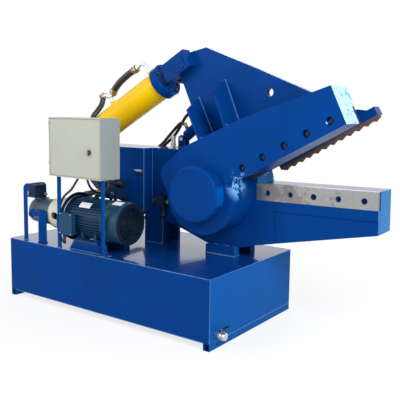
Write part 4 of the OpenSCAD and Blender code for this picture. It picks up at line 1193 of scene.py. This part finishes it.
@dataclass
class Hydraulics:
    """The hoses and cables, which stand for the plain ones of the frame.

    Attributes:
        deck: Coordinates of the machine.
        line: Coordinates of the main cylinder.
        hoses: Those that start on the machine.
        barrel: The one that rides along the main cylinder.
    """

    deck: Deck
    line: CylinderLine
    hoses: tuple[Hose, ...] = (
        Hose(
            "pressure_hose", 22,
            (
                (270, 324.5, 225), (270, 345, 225), (276, 372, 232), (312, 410, 290),
                (400, 438, 352), (500, 449, 378), (565, 450, 386), (590, 450, 386),
                (609.5, 450, 386),
            ),
            stands_for="fixed_hoses",
        ),
        Hose(
            "return_hose", 18,
            (
                (560, 470, -10), (560, 470, 30), (560, 470, 90), (566, 440, 200),
                (600, 400, 300), (640, 366, 370), (664, 360, 388), (670, 368, 388),
                (670, 380, 388), (670, 390.5, 388),
            ),
        ),
        Hose(
            "head_line", 23,
            (
                (478.7, 625, 1187.4), (464, 625, 1179), (458, 622, 1150), (462, 600, 1105),
                (460, 555, 1055), (455, 512, 1005), (493, 476, 925), (505, 470, 850),
                (515, 490, 740), (545, 510, 640), (605, 524, 585), (650, 525, 545),
                (660, 525, 500), (660, 525, 470.5),
            ),
            other="cylinder", bend=((560, 520, 620), (440, 560, 1060)),
            stands_for="cylinder_hoses",
        ),
        Hose(
            "base_line", 16,
            (
                (437.6, 468.5, 895.3), (437.6, 452, 895.3), (436, 440, 880), (425, 432, 840),
                (420, 440, 740), (450, 460, 600), (500, 490, 470), (560, 508, 392),
                (590, 510, 386), (609.5, 510, 386),
            ),
            other="cylinder", bend=((470, 470, 520), (430, 440, 880)),
        ),
        Hose(
            "clamp_base_feed", 13,
            (
                (1138.8, 906, 932.4), (1124, 906, 952), (1075, 906, 965), (1000, 903, 900),
                (900, 900, 800), (790, 900, 700), (755, 900, 500), (740, 900, 260),
                (740, 860, 150), (740, 700, 140), (740, 560, 160), (740, 480, 240),
                (740, 475, 300), (740, 475, 331.5),
            ),
            other="clamp_tube", bend=((880, 910, 790), (1090, 910, 960)),
            stands_for="clamp_hoses",
        ),
        Hose(
            "clamp_head_feed", 13,
            (
                (1329.1, 906, 1077.4), (1314, 906, 1097), (1240, 910, 1100), (1120, 918, 1020),
                (1010, 930, 880), (880, 932, 770), (740, 932, 670), (700, 930, 500),
                (690, 922, 260), (690, 860, 150), (690, 700, 140), (690, 560, 160),
                (690, 480, 240), (690, 475, 300), (690, 475, 331.5),
            ),
            other="clamp_tube", bend=((880, 910, 790), (1090, 910, 960)),
        ),
        Hose(
            "motor_lead", 9,
            (
                (690, 120, 566), (690, 120, 556), (690, 120, 545), (620, 112, 450),
                (560, 88, 390), (542, 60, 310), (541, 40, 225), (541, 42, 150), (545, 56, 82),
                (566, 66, 42), (604, 52, 34), (630, 30, 48), (634, 24, 66), (634, 24, 78),
                (634, 24, 89.5),
            ),
            ferrules=False, stands_for="cables",
        ),
        Hose(
            "valve_lead", 9,
            (
                (790, 120, 566), (790, 120, 545), (791, 124, 520), (796, 150, 470),
                (790, 220, 430), (770, 320, 410), (740, 400, 440), (725, 420, 470),
                (725, 432, 475), (725, 444.5, 475),
            ),
            ferrules=False,
        ),
    )
    barrel: Hose = Hose(
        "barrel_hose", 28,
        (
            (703, 0, 240), (660, 0, 243), (610, 0, 246), (565, 0, 245), (493, 0, 240),
            (428, 0, 225), (388, 0, 209), (364, 0, 196),
        ),
        body="cylinder", stands_for="head_hose",
    )

    def build(self) -> None:
        """Makes every hose and cable."""
        for hose in self.hoses:
            hose.build(self.deck.at)
        self.barrel.build(self.line.at)


@dataclass
class Welds:
    """Seams of the welded frame, arm, tank and stands, in millimetres.

    Attributes:
        deck: Coordinates of the machine.
        pivot: Place of the main shaft along the deck and above it.
        arm_front: Front of the arm's beam.
        web_front: Front of the arm's upper plate.
        rib_half: Half a rib's thickness.
        ribs: Foot and head of each rib, along and up from the pivot.
        ridge: Seam of the upper plate on the beam, along and up from the pivot.
        frame: Seams of the fixed frame and of the blocks under the jaw.
        tank: Seams round the deck, down the tank's corners and along its bottom.
        posts: Place and size of the feet of the box's posts and the pump's stand.
        rails: Place of the motor's two rails.
    """

    deck: Deck
    pivot: tuple[float, float] = (1643, 482)
    arm_front: float = 403
    web_front: float = 600
    rib_half: float = 9
    ribs: tuple[tuple[tuple[float, float], tuple[float, float]], ...] = (
        ((-18, 386), (-170, 688)),
        ((202, 483), (63, 814)),
    )
    ridge: tuple[tuple[float, float], ...] = ((-100, 351), (328, 539), (775, 690))
    frame: tuple[Line, ...] = (
        ((985.5, 651, 262), (985.5, 651, 768)),
        ((935, 619, 1), (1096, 619, 1), (1097, 650, 1)),
        ((1097, 652, 214), (1097, 652, 2)),
        ((1555, 609, 1), (1812, 609, 1), (1813, 680, 1)),
        ((1556, 649.5, 66), (1811, 649.5, 66)),
        ((270, 544, 770), (430, 544, 770)),
        ((270, 703, 770), (430, 703, 770)),
        ((431, 548, 770), (431, 583, 770)),
        ((1074, 862, 770), (1146, 862, 770)),
        ((1078, 932, 758), (1142, 932, 758)),
        ((986, 545.5, 768), (986, 545.5, 262)),
    )
    # These beads follow the tank's edges; their lighter blue shows as bright edge lines, a painted
    # highlight along real seams.
    tank: tuple[Line, ...] = (
        (
            (2, 1.5, -1.5), (2023, 1.5, -1.5), (2023.5, 1098, -1.5), (2, 1098, -1.5),
            (2, 1.5, -1.5),
        ),
        ((2023.5, 1.5, -2), (2023.5, 1.5, -429)),
        ((1.5, 1.5, -2), (1.5, 1.5, -429)),
        ((2023.5, 1098.5, -2), (2023.5, 1098.5, -429)),
        ((1.5, 1098.5, -2), (1.5, 1098.5, -429)),
        ((52, 1, -431), (1974, 1, -431)),
        ((2024, 60, -430), (2024, 1098, -430)),
    )
    posts: tuple[tuple[float, float, float, float], ...] = (
        (566, 14, 22, 22), (1037, 14, 22, 22), (126, 40, 38, 12),
    )
    rails: tuple[tuple[float, float], ...] = ((665, 45), (665, 295))

    def lay(self, name: str, seams: Iterable[Line], body: str, size: float) -> None:
        """Lays several seams as one piece.

        Args:
            name: Name of the piece.
            seams: Corners of each seam.
            body: Body they ride on.
            size: Radius of the beads.
        """
        beads = [weld_bead([self.deck.at(*p) for p in seam], size) for seam in seams]
        settle(join(beads), name, "bead", body)

    def arm_seams(self) -> list[Line]:
        """Finds both sides of each rib, over the beam and up the plate, and the plate's foot."""
        x, z = self.pivot
        seams = []
        for foot, head in self.ribs:
            up = (Vector(head) - Vector(foot)).normalized()
            across = Vector((up.y, -up.x)) * (self.rib_half + 1.5)
            for side, lift in ((1, 8), (-1, 0)):
                low = Vector(foot) + across * side + up * lift
                high = Vector(head) + across * side
                corners = (
                    (low, self.arm_front + 8), (low, self.web_front - 1.5),
                    (high, self.web_front - 1.5),
                )
                seams.append(tuple((x + p.x, y, z + p.y) for p, y in corners))
        seams.append(tuple((x + a, self.web_front - 1, z + b) for a, b in self.ridge))
        return seams

    def stand_seams(self) -> list[Line]:
        """Finds the seams round the posts' feet and beside the motor's rails."""
        seams: list[Line] = [
            ((x, y, 1), (x + w, y, 1), (x + w, y + d, 1), (x, y + d, 1), (x, y, 1))
            for x, y, w, d in self.posts
        ]
        for x, y in self.rails:
            seams.append(((x, y - 1, 1), (1000, y - 1, 1), (1001, y + 70, 1)))
        return seams

    def build(self) -> None:
        """Lays every seam."""
        self.lay("arm_seams", self.arm_seams(), "arm", size=5.0)
        self.lay("frame_seams", self.frame, "root", size=4.5)
        self.lay("tank_seams", self.tank, "root", size=2.6)
        self.lay("stand_seams", self.stand_seams(), "root", size=3.2)


@dataclass
class Trim:
    """A sub-assembly's fittings and screws.

    Attributes:
        deck: Coordinates of the machine.
        small: The fittings and the screws.
    """

    deck: Deck
    small: tuple[Fitting | Screws, ...] = ()

    def build(self) -> None:
        """Makes all of them."""
        for one in self.small:
            one.build(self.deck.at)


@dataclass
class PowerPack(Trim):
    """Small parts on the motor, the bellhousing, the pump and its valve, in millimetres.

    Attributes:
        axis: Place of the motor's axis across the deck and above it.
        plates: Name, ends along the motor, edges as angles and radius of each blank plate.
        plate_t: Thickness of the blank plates.
        eye: Middle of the lifting eye.
        eye_radii: Radii of the eye's ring and of its section.
        collar: The collar under the eye.
        cowl_screw_x: Place of the cowl's screws along the motor.
        cowl_screw_r: Radius of the circle that they are on.
        rim_x: Middle of the motor's flange rim.
        rim_w: Width of the rim.
        rim_radii: Radii of the rim's hole and edge.
        rim_bevel: Bevel of the rim's edge.
    """

    axis: tuple[float, float] = (205, 225)
    plates: tuple[tuple[str, tuple[float, float], tuple[float, float], float], ...] = (
        ("motor_blank_plate", (735, 850), (122, 141), 161),
        ("cowl_blank_plate", (1035, 1125), (98, 116), 163.2),
    )
    plate_t: float = 1.5
    eye: Point = (735, 205, 419)
    eye_radii: tuple[float, float] = (19, 5.5)
    collar: Turned = Turned((735, 205, 393), (735, 205, 400), 15, 1.5)
    cowl_screw_x: float = 1018
    cowl_screw_r: float = 162.3
    rim_x: float = 593.25
    rim_w: float = 6.5
    rim_radii: tuple[float, float] = (165.3, 192)
    rim_bevel: float = 1.5
    small: tuple[Fitting | Screws, ...] = (
        Screws(
            "terminal_screws", "zinc_steel", FRONT, 5, 3,
            ((609, 1.5, 125), (609, 1.5, 272), (726, 1.5, 125), (726, 1.5, 272)),
        ),
        Fitting(
            "terminal_gland", "black_plastic",
            (
                Turned((634, 24, 86), (634, 24, 100), 15, 1.5, HEX),
                Turned((634, 24, 78), (634, 24, 88), 12, 3),
            ),
        ),
        Screws(
            "bellhousing_bolts", "zinc_steel", PUMP_END, 9, 8,
            around((589, 205, 225), 154, (22.5 + 45 * i for i in range(8))),
        ),
        Screws(
            "pump_cover_bolts", "dark_steel", PUMP_END, 9, 5,
            around((99, 205, 225), 78, (30 + 60 * i for i in range(6))),
        ),
        Fitting(
            "relief_plug", "zinc_steel",
            (
                Turned((125, 82, 378), (125, 98, 378), 17, corners=HEX),
                Turned((125, 76, 378), (125, 83, 378), 11),
            ),
        ),
        Fitting(
            "relief_union", "zinc_steel",
            (
                Turned((205, 196, 366), (216, 196, 366), 16, corners=HEX),
                Turned((216, 196, 366), (226, 196, 366), 12),
            ),
        ),
        Screws(
            "relief_screws", "dark_steel", UP, 7, 3.5,
            ((121, 114, 446), (121, 196, 446), (189, 114, 446), (189, 196, 446)),
        ),
        Fitting(
            "suction_plugs", "blue",
            (
                Turned((340, 54, 255), (340, 54, 261), 22, corners=HEX),
                Turned((211, 54, 225), (205, 54, 225), 18, corners=HEX),
            ),
        ),
    )

    def curved_plate(
        self, name: str, x: tuple[float, float], turn: tuple[float, float], radius: float
    ) -> None:
        """Makes a thin bare plate that follows the motor's round body.

        Args:
            name: Name of the plate.
            x: Its two ends along the motor.
            turn: Its two edges as angles about the motor's axis, from the back upwards.
            radius: Radius that it lies on.
        """
        middle = self.deck.at((x[0] + x[1]) / 2, *self.axis)
        made = cylinder(
            middle, ALONG_X, radius=radius * MM, depth=(x[1] - x[0]) * MM, vertices=120,
            end_fill_type="NOTHING",
        )

        def outside(face: bpy.types.MeshPolygon) -> bool:
            """Tells whether a face lies beyond the plate's edges."""
            away = face.center - middle
            return not turn[0] < math.degrees(math.atan2(away.z, away.y)) < turn[1]

        pick_faces(made, outside)
        bpy.ops.mesh.delete(type="FACE")
        bpy.ops.object.mode_set(mode="OBJECT")
        thicken(made, self.plate_t * MM)
        smooth_shade(35)
        settle(made, name, "blank_plate", "root")

    def lifting_eye(self) -> None:
        """Makes the motor's lifting eye on its collar."""
        major, minor = (radius * MM for radius in self.eye_radii)
        deselect()
        bpy.ops.mesh.primitive_torus_add(
            major_radius=major, minor_radius=minor, major_segments=36, minor_segments=12,
            location=self.deck.at(*self.eye), rotation=ALONG_X,
        )
        bpy.ops.object.transform_apply(location=True, rotation=True, scale=True)
        smooth_shade(50)
        eye = bpy.context.object
        settle(join([eye, self.collar.make(self.deck.at)]), "lifting_eye", "teal", "root")

    def cowl_screws(self) -> None:
        """Makes the screws that stand out all round the fan's cowl."""
        heads = []
        for angle in (50, 130, 230, 310):
            way = around((0, 0, 0), 1, (angle,))[0]
            places = around((self.cowl_screw_x, *self.axis), self.cowl_screw_r, (angle,))
            heads.append(Screws("", "", way, 5, 3, places).make(self.deck.at))
        settle(join(heads), "cowl_screws", "zinc_steel", "root")

    def build(self) -> None:
        """Makes all of them."""
        for plate in self.plates:
            self.curved_plate(*plate)
        self.lifting_eye()
        self.cowl_screws()
        hole, edge = (radius * MM for radius in self.rim_radii)
        middle = self.deck.at(self.rim_x, *self.axis)
        rim = flat_ring(middle, self.rim_w * MM, (hole, edge), self.rim_bevel * MM)
        # The flange rim takes the same darkened blue that stands for shade on the bolts in their
        # holes.
        settle(rim, "motor_flange_rim", "recess_shade_blue", "root")
        super().build()


@dataclass
class ElectricBox(Trim):
    """Seal, glands and bolts of the electric box, in millimetres.

    Attributes:
        low: Lowest corner of the door's opening, along the deck and up.
        high: Highest corner of it.
        depth: Front and back of the seal.
        gap: Gap between the seal and the opening's edge.
        width: How far the seal reaches in from the opening's edge.
        bevel: Bevel of the seal.
    """

    low: tuple[float, float] = (529, 570)
    high: tuple[float, float] = (1061, 1000)
    depth: tuple[float, float] = (-19.5, -6)
    gap: float = 0.2
    width: float = 2.8
    bevel: float = 0.4
    small: tuple[Fitting | Screws, ...] = (
        Fitting(
            "box_glands", "black_plastic",
            (
                Turned((690, 120, 548), (690, 120, 560.5), 17, corners=HEX),
                Turned((690, 120, 536), (690, 120, 549), 13, 3),
                Turned((790, 120, 548), (790, 120, 560.5), 17, corners=HEX),
                Turned((790, 120, 536), (790, 120, 549), 13, 3),
            ),
        ),
        Screws(
            "stand_bolts", "zinc_steel", DOWN, 7, 5, ((577, 25, 555), (1048, 25, 555)),
            washer=True,
        ),
    )

    def build(self) -> None:
        """Makes the dark seal in the gap round the door and all the rest."""
        (x0, z0), (x1, z1) = self.low, self.high
        y0, y1 = self.depth
        gap, width = self.gap, self.width
        inner = width + gap
        at = self.deck.at
        bars = (
            (x0 + gap, z0 + gap, x0 + width, z1 - gap),
            (x1 - width, z0 + gap, x1 - gap, z1 - gap),
            (x0 + inner, z0 + gap, x1 - inner, z0 + width),
            (x0 + inner, z1 - width, x1 - inner, z1 - gap),
        )
        made = [rounded_box(at(a, y0, b), at(c, y1, d), self.bevel * MM) for a, b, c, d in bars]
        settle(join(made), "door_seal", "gasket", "root")
        super().build()


@dataclass
class MainCylinder:
    """Weld ring, ports and pin keepers of the main cylinder, in millimetres.

    Attributes:
        line: Coordinates of the cylinder, which all but the base pin's keeper are in.
        seam: Place of the base cap's seam along the cylinder.
        seam_r: Radius that it lies on.
        bead: Radius of its bead.
        pipes: Radius and route of the head port's swept elbow and of the union's branch.
        ports: Nuts and stubs of the ports.
        tail_screws: Screws in the keeper of the rod's fork.
        plate: Two corners of the base pin's keeper on the machine.
        studs: Its two screws on the machine.
    """

    line: CylinderLine
    seam: float = 119
    seam_r: float = 117
    bead: float = 3.2
    pipes: tuple[tuple[float, Line], ...] = (
        (
            13,
            (
                (813.4, 0, 138), (813, 0, 158), (809, 0, 186), (795, 0, 217), (771, 0, 238),
                (745, 0, 243), (720, 0, 240),
            ),
        ),
        (
            15,
            (
                (284, 0, 232), (300, 0, 221), (322, 0, 199), (340, 0, 186), (352, 0, 189),
                (362, 0, 195),
            ),
        ),
    )
    ports: tuple[Turned, ...] = (
        Turned((813.4, 0, 140), (813.4, 0, 156), 24, corners=HEX),
        Turned((813.4, 0, 156), (813.2, 0, 166), 18),
        Turned((724, 0, 240.5), (704, 0, 240), 25, corners=HEX),
        Turned((736, 0, 242.5), (724, 0, 240.5), 18),
        Turned((340, 0, 138), (340, 0, 186), 15, 1),
        Turned((340, 0, 140), (340, 0, 155), 25, corners=HEX),
        Turned((340, 0, 176), (340, 0, 197), 20, 3),
        Turned((296, 0, 224), (282, 0, 233), 24, corners=HEX),
        Turned((352, 0, 190), (364, 0, 196), 25, corners=HEX),
        Turned((101, -126, 0), (101, -156, 0), 15, 1),
        Turned((101, -126.5, 0), (101, -142, 0), 22, corners=HEX),
    )
    tail_screws: Screws = Screws(
        "tail_keeper_screws", "blue", FRONT, 8, 4,
        ((1111.4, -123, 0), (1171.4, -123, 0), (1141.4, -123, 30), (1141.4, -123, -30)), "rod",
    )
    plate: Line = ((298, 530, 827), (402, 536, 863))
    studs: tuple[Turned, ...] = (
        Turned((316, 530, 845), (316, 524, 845), 9, 1.2, HEX),
        Turned((384, 530, 845), (384, 524, 845), 9, 1.2, HEX),
    )

    def build(self) -> None:
        """Makes all of them; the ports stand for the plain ones of the frame."""
        at, on_deck = self.line.at, self.line.deck.at
        steps = 72
        turns = [2 * math.pi * i / steps for i in range(steps + 1)]
        seam = [at(self.seam, self.seam_r * math.cos(a), self.seam_r * math.sin(a)) for a in turns]
        settle(weld_bead(seam, self.bead), "base_cap_seam", "yellow", "cylinder")
        pipes = [
            tube(smooth_line([at(*p) for p in route], steps=5), radius * MM, sides=6)
            for radius, route in self.pipes
        ]
        ports = join(pipes + [port.make(at) for port in self.ports])
        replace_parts(settle(ports, "port_fittings", "zinc_steel", "cylinder"), "cylinder_fittings")
        self.tail_screws.build(at)
        low, high = (on_deck(*corner) for corner in self.plate)
        keeper = [rounded_box(low, high, 1.5 * MM)] + [stud.make(on_deck) for stud in self.studs]
        settle(join(keeper), "base_pin_keeper", "blue", "root")


@dataclass
class ValveStand(Trim):
    """Coil rings, screws, nuts and plugs of the directional valve and the holding valve."""

    small: tuple[Fitting | Screws, ...] = (
        Fitting(
            "coil_rings", "black_plastic",
            tuple(
                Turned((x - 4, 480, 476), (x + 4, 480, 476), 24, 1.5)
                for x in (622, 636, 804, 818)
            ),
        ),
        Screws(
            "valve_screws", "zinc_steel", UP, 6, 4,
            ((692, 455, 502), (692, 505, 502), (748, 455, 502), (748, 505, 502)),
        ),
        Fitting(
            "valve_nuts", "zinc_steel",
            (
                Turned((670, 400, 388), (670, 412, 388), 22, corners=HEX),
                Turned((770, 400, 388), (770, 412, 388), 22, corners=HEX),
                Turned((616, 450, 386), (628, 450, 386), 22, corners=HEX),
                Turned((616, 510, 386), (628, 510, 386), 22, corners=HEX),
            ),
        ),
        Fitting(
            "holding_valve_plugs", "zinc_steel",
            (
                Turned((1036, 623, 346), (1046, 623, 346), 23, corners=HEX),
                Turned((1168, 623, 346), (1184, 623, 346), 24, 3, HEX),
                Turned((1128, 622, 236), (1128, 622, 242), 17, corners=HEX),
            ),
        ),
    )


@dataclass
class Studio:
    """Camera, lamps, floor and white surroundings.

    Attributes:
        place: Place of the camera in metres.
        heading: Turn from the machine's back towards its pump end in degrees.
        down: Tilt below level.
        roll: Turn about the line of sight.
        focal: Focal length in picture widths.
        shift: Vertical shift of the lens.
        sensor: Width of the film in millimetres.
        reach: How far the camera sees in metres.
        lamps: Name, place, power in watts and side in metres of each lamp.
        aim: Where the lamps point.
        sky: Colour and strength of the surroundings as light.
        pale: The floor's own colour.
        near: Radius round the machine in which the floor shows shadow.
        shadow: How much of it shows there.
        ground: Side of the floor in metres.
    """

    place: Point = (2.736, -3.629, 1.560)
    heading: float = 35.8
    down: float = 6.75
    roll: float = 0.77
    focal: float = 606.34 / 400
    shift: float = -0.0466
    sensor: float = 36.0
    reach: float = 60.0
    lamps: tuple[tuple[str, Point, float, float], ...] = (
        ("key_lamp", (4.6, -2.7, 4.2), 300.0, 3.0),
        ("fill_lamp", (-3.2, -4.6, 3.2), 125.0, 3.5),
        ("rim_lamp", (-1.5, 4.5, 4.6), 120.0, 3.0),
    )
    aim: Point = (0.0, 0.0, 0.9)
    sky: tuple[Colour, float] = ((0.93, 0.96, 1.0), 0.55)
    pale: Colour = (0.92, 0.92, 0.92)
    near: float = 3.4
    shadow: float = 0.24
    ground: float = 40.0

    def build(self) -> None:
        """Sets up everything that isn't part of the machine."""
        self.camera()
        self.surroundings()
        self.floor()
        for lamp in self.lamps:
            self.lamp(*lamp)
        bpy.context.scene.view_settings.view_transform = "Standard"

    def camera(self) -> None:
        """Places the camera."""
        data = bpy.data.cameras.new("camera")
        data.sensor_width = self.sensor
        data.lens = self.focal * self.sensor
        data.shift_y = self.shift
        data.clip_end = self.reach
        made = bpy.data.objects.new("camera", data)
        bpy.context.scene.collection.objects.link(made)
        level = Euler((math.radians(90 - self.down), 0.0, math.radians(self.heading))).to_matrix()
        turned = level @ Matrix.Rotation(math.radians(self.roll), 3, "Z")
        made.matrix_world = Matrix.Translation(self.place) @ turned.to_4x4()
        bpy.context.scene.camera = made

    def lamp(self, name: str, place: Point, power: float, size: float) -> None:
        """Adds one soft square lamp aimed at the machine.

        Args:
            name: Its name.
            place: Its place.
            power: Its power in watts.
            size: Its side in metres.
        """
        data = bpy.data.lights.new(name, "AREA")
        data.energy, data.size = power, size
        made = bpy.data.objects.new(name, data)
        bpy.context.scene.collection.objects.link(made)
        way = (Vector(self.aim) - Vector(place)).to_track_quat("-Z", "Y")
        made.matrix_world = Matrix.Translation(place) @ way.to_matrix().to_4x4()

    def surroundings(self) -> None:
        """White world, plain white to the camera and in reflections, softer as light."""
        world = bpy.data.worlds.new("studio")
        bpy.context.scene.world = world
        world.use_nodes = True
        world.node_tree.nodes.clear()
        t = Tree(world.node_tree)
        path = t.add("LightPath").outputs
        seen = t.math("MAXIMUM", path["Is Glossy Ray"], path["Is Transmission Ray"])
        seen = t.math("MAXIMUM", path["Is Camera Ray"], seen)
        colour, strength = self.sky
        soft = t.add("Background", {"Color": colour, "Strength": strength})
        white = t.add("Background", {"Color": WHITE, "Strength": 1.0})
        both = t.add("MixShader", {0: seen, 1: soft.outputs[0], 2: white.outputs[0]})
        t.add("OutputWorld", {"Surface": both.outputs[0]})

    def floor(self) -> None:
        """Pale floor that keeps the machine's shadow."""
        deselect()
        bpy.ops.mesh.primitive_plane_add(size=self.ground, location=(0.0, 0.0, 0.0))
        ground = bpy.context.object
        ground.name = "studio_floor"
        made = bpy.data.materials.new("studio_floor")
        made.use_nodes = True
        made.node_tree.nodes.clear()
        t = Tree(made.node_tree)
        path = t.add("LightPath").outputs
        seen = t.math("MAXIMUM", path["Is Camera Ray"], path["Is Glossy Ray"])
        pale = t.add("BsdfDiffuse", {"Color": self.pale})
        white = t.add("Emission", {"Color": WHITE, "Strength": 1.0})
        place = t.add("TexCoord").outputs["Object"]
        near = t.effect(Effect.ZONE, Place=place, Middle=(0.0, 0.0, 0.0), Radius=self.near)
        share = t.math("SUBTRACT", 1.0, t.math("MULTIPLY", near, self.shadow))
        share = t.math("MULTIPLY", seen, share)
        both = t.add("MixShader", {0: share, 1: pale.outputs[0], 2: white.outputs[0]})
        t.add("OutputMaterial", {"Surface": both.outputs[0]})
        ground.data.materials.append(made)
        ground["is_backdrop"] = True


def dress_frame(frame: dict) -> None:
    """Gives every node of the frame its finish.
    """
    slots = {part["node"]: part["material_slot"] for part in frame["record"]["subparts"]}
    for name, piece in frame["nodes"].items():
        finish = FINISHES[NODE_FINISH.get(name, slots.get(name, "blue"))].material()
        for slot in piece.material_slots:
            slot.material = finish
        if not piece.material_slots:
            piece.data.materials.append(finish)


def corners() -> list[list[float]]:
    """Gives the whole object's box as plain numbers."""
    low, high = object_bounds()
    return [list(low), list(high)]


def main() -> None:
    """Builds the scene."""
    logging.basicConfig(level=logging.INFO, format="%(name)s %(message)s")
    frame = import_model()
    deck = Deck.from_tank()
    line = CylinderLine(deck)
    Studio().build()
    dress_frame(frame)
    Hydraulics(deck, line).build()
    Welds(deck).build()
    PowerPack(deck).build()
    ElectricBox(deck).build()
    MainCylinder(line).build()
    ValveStand(deck).build()


if __name__ == "__main__":
    main()
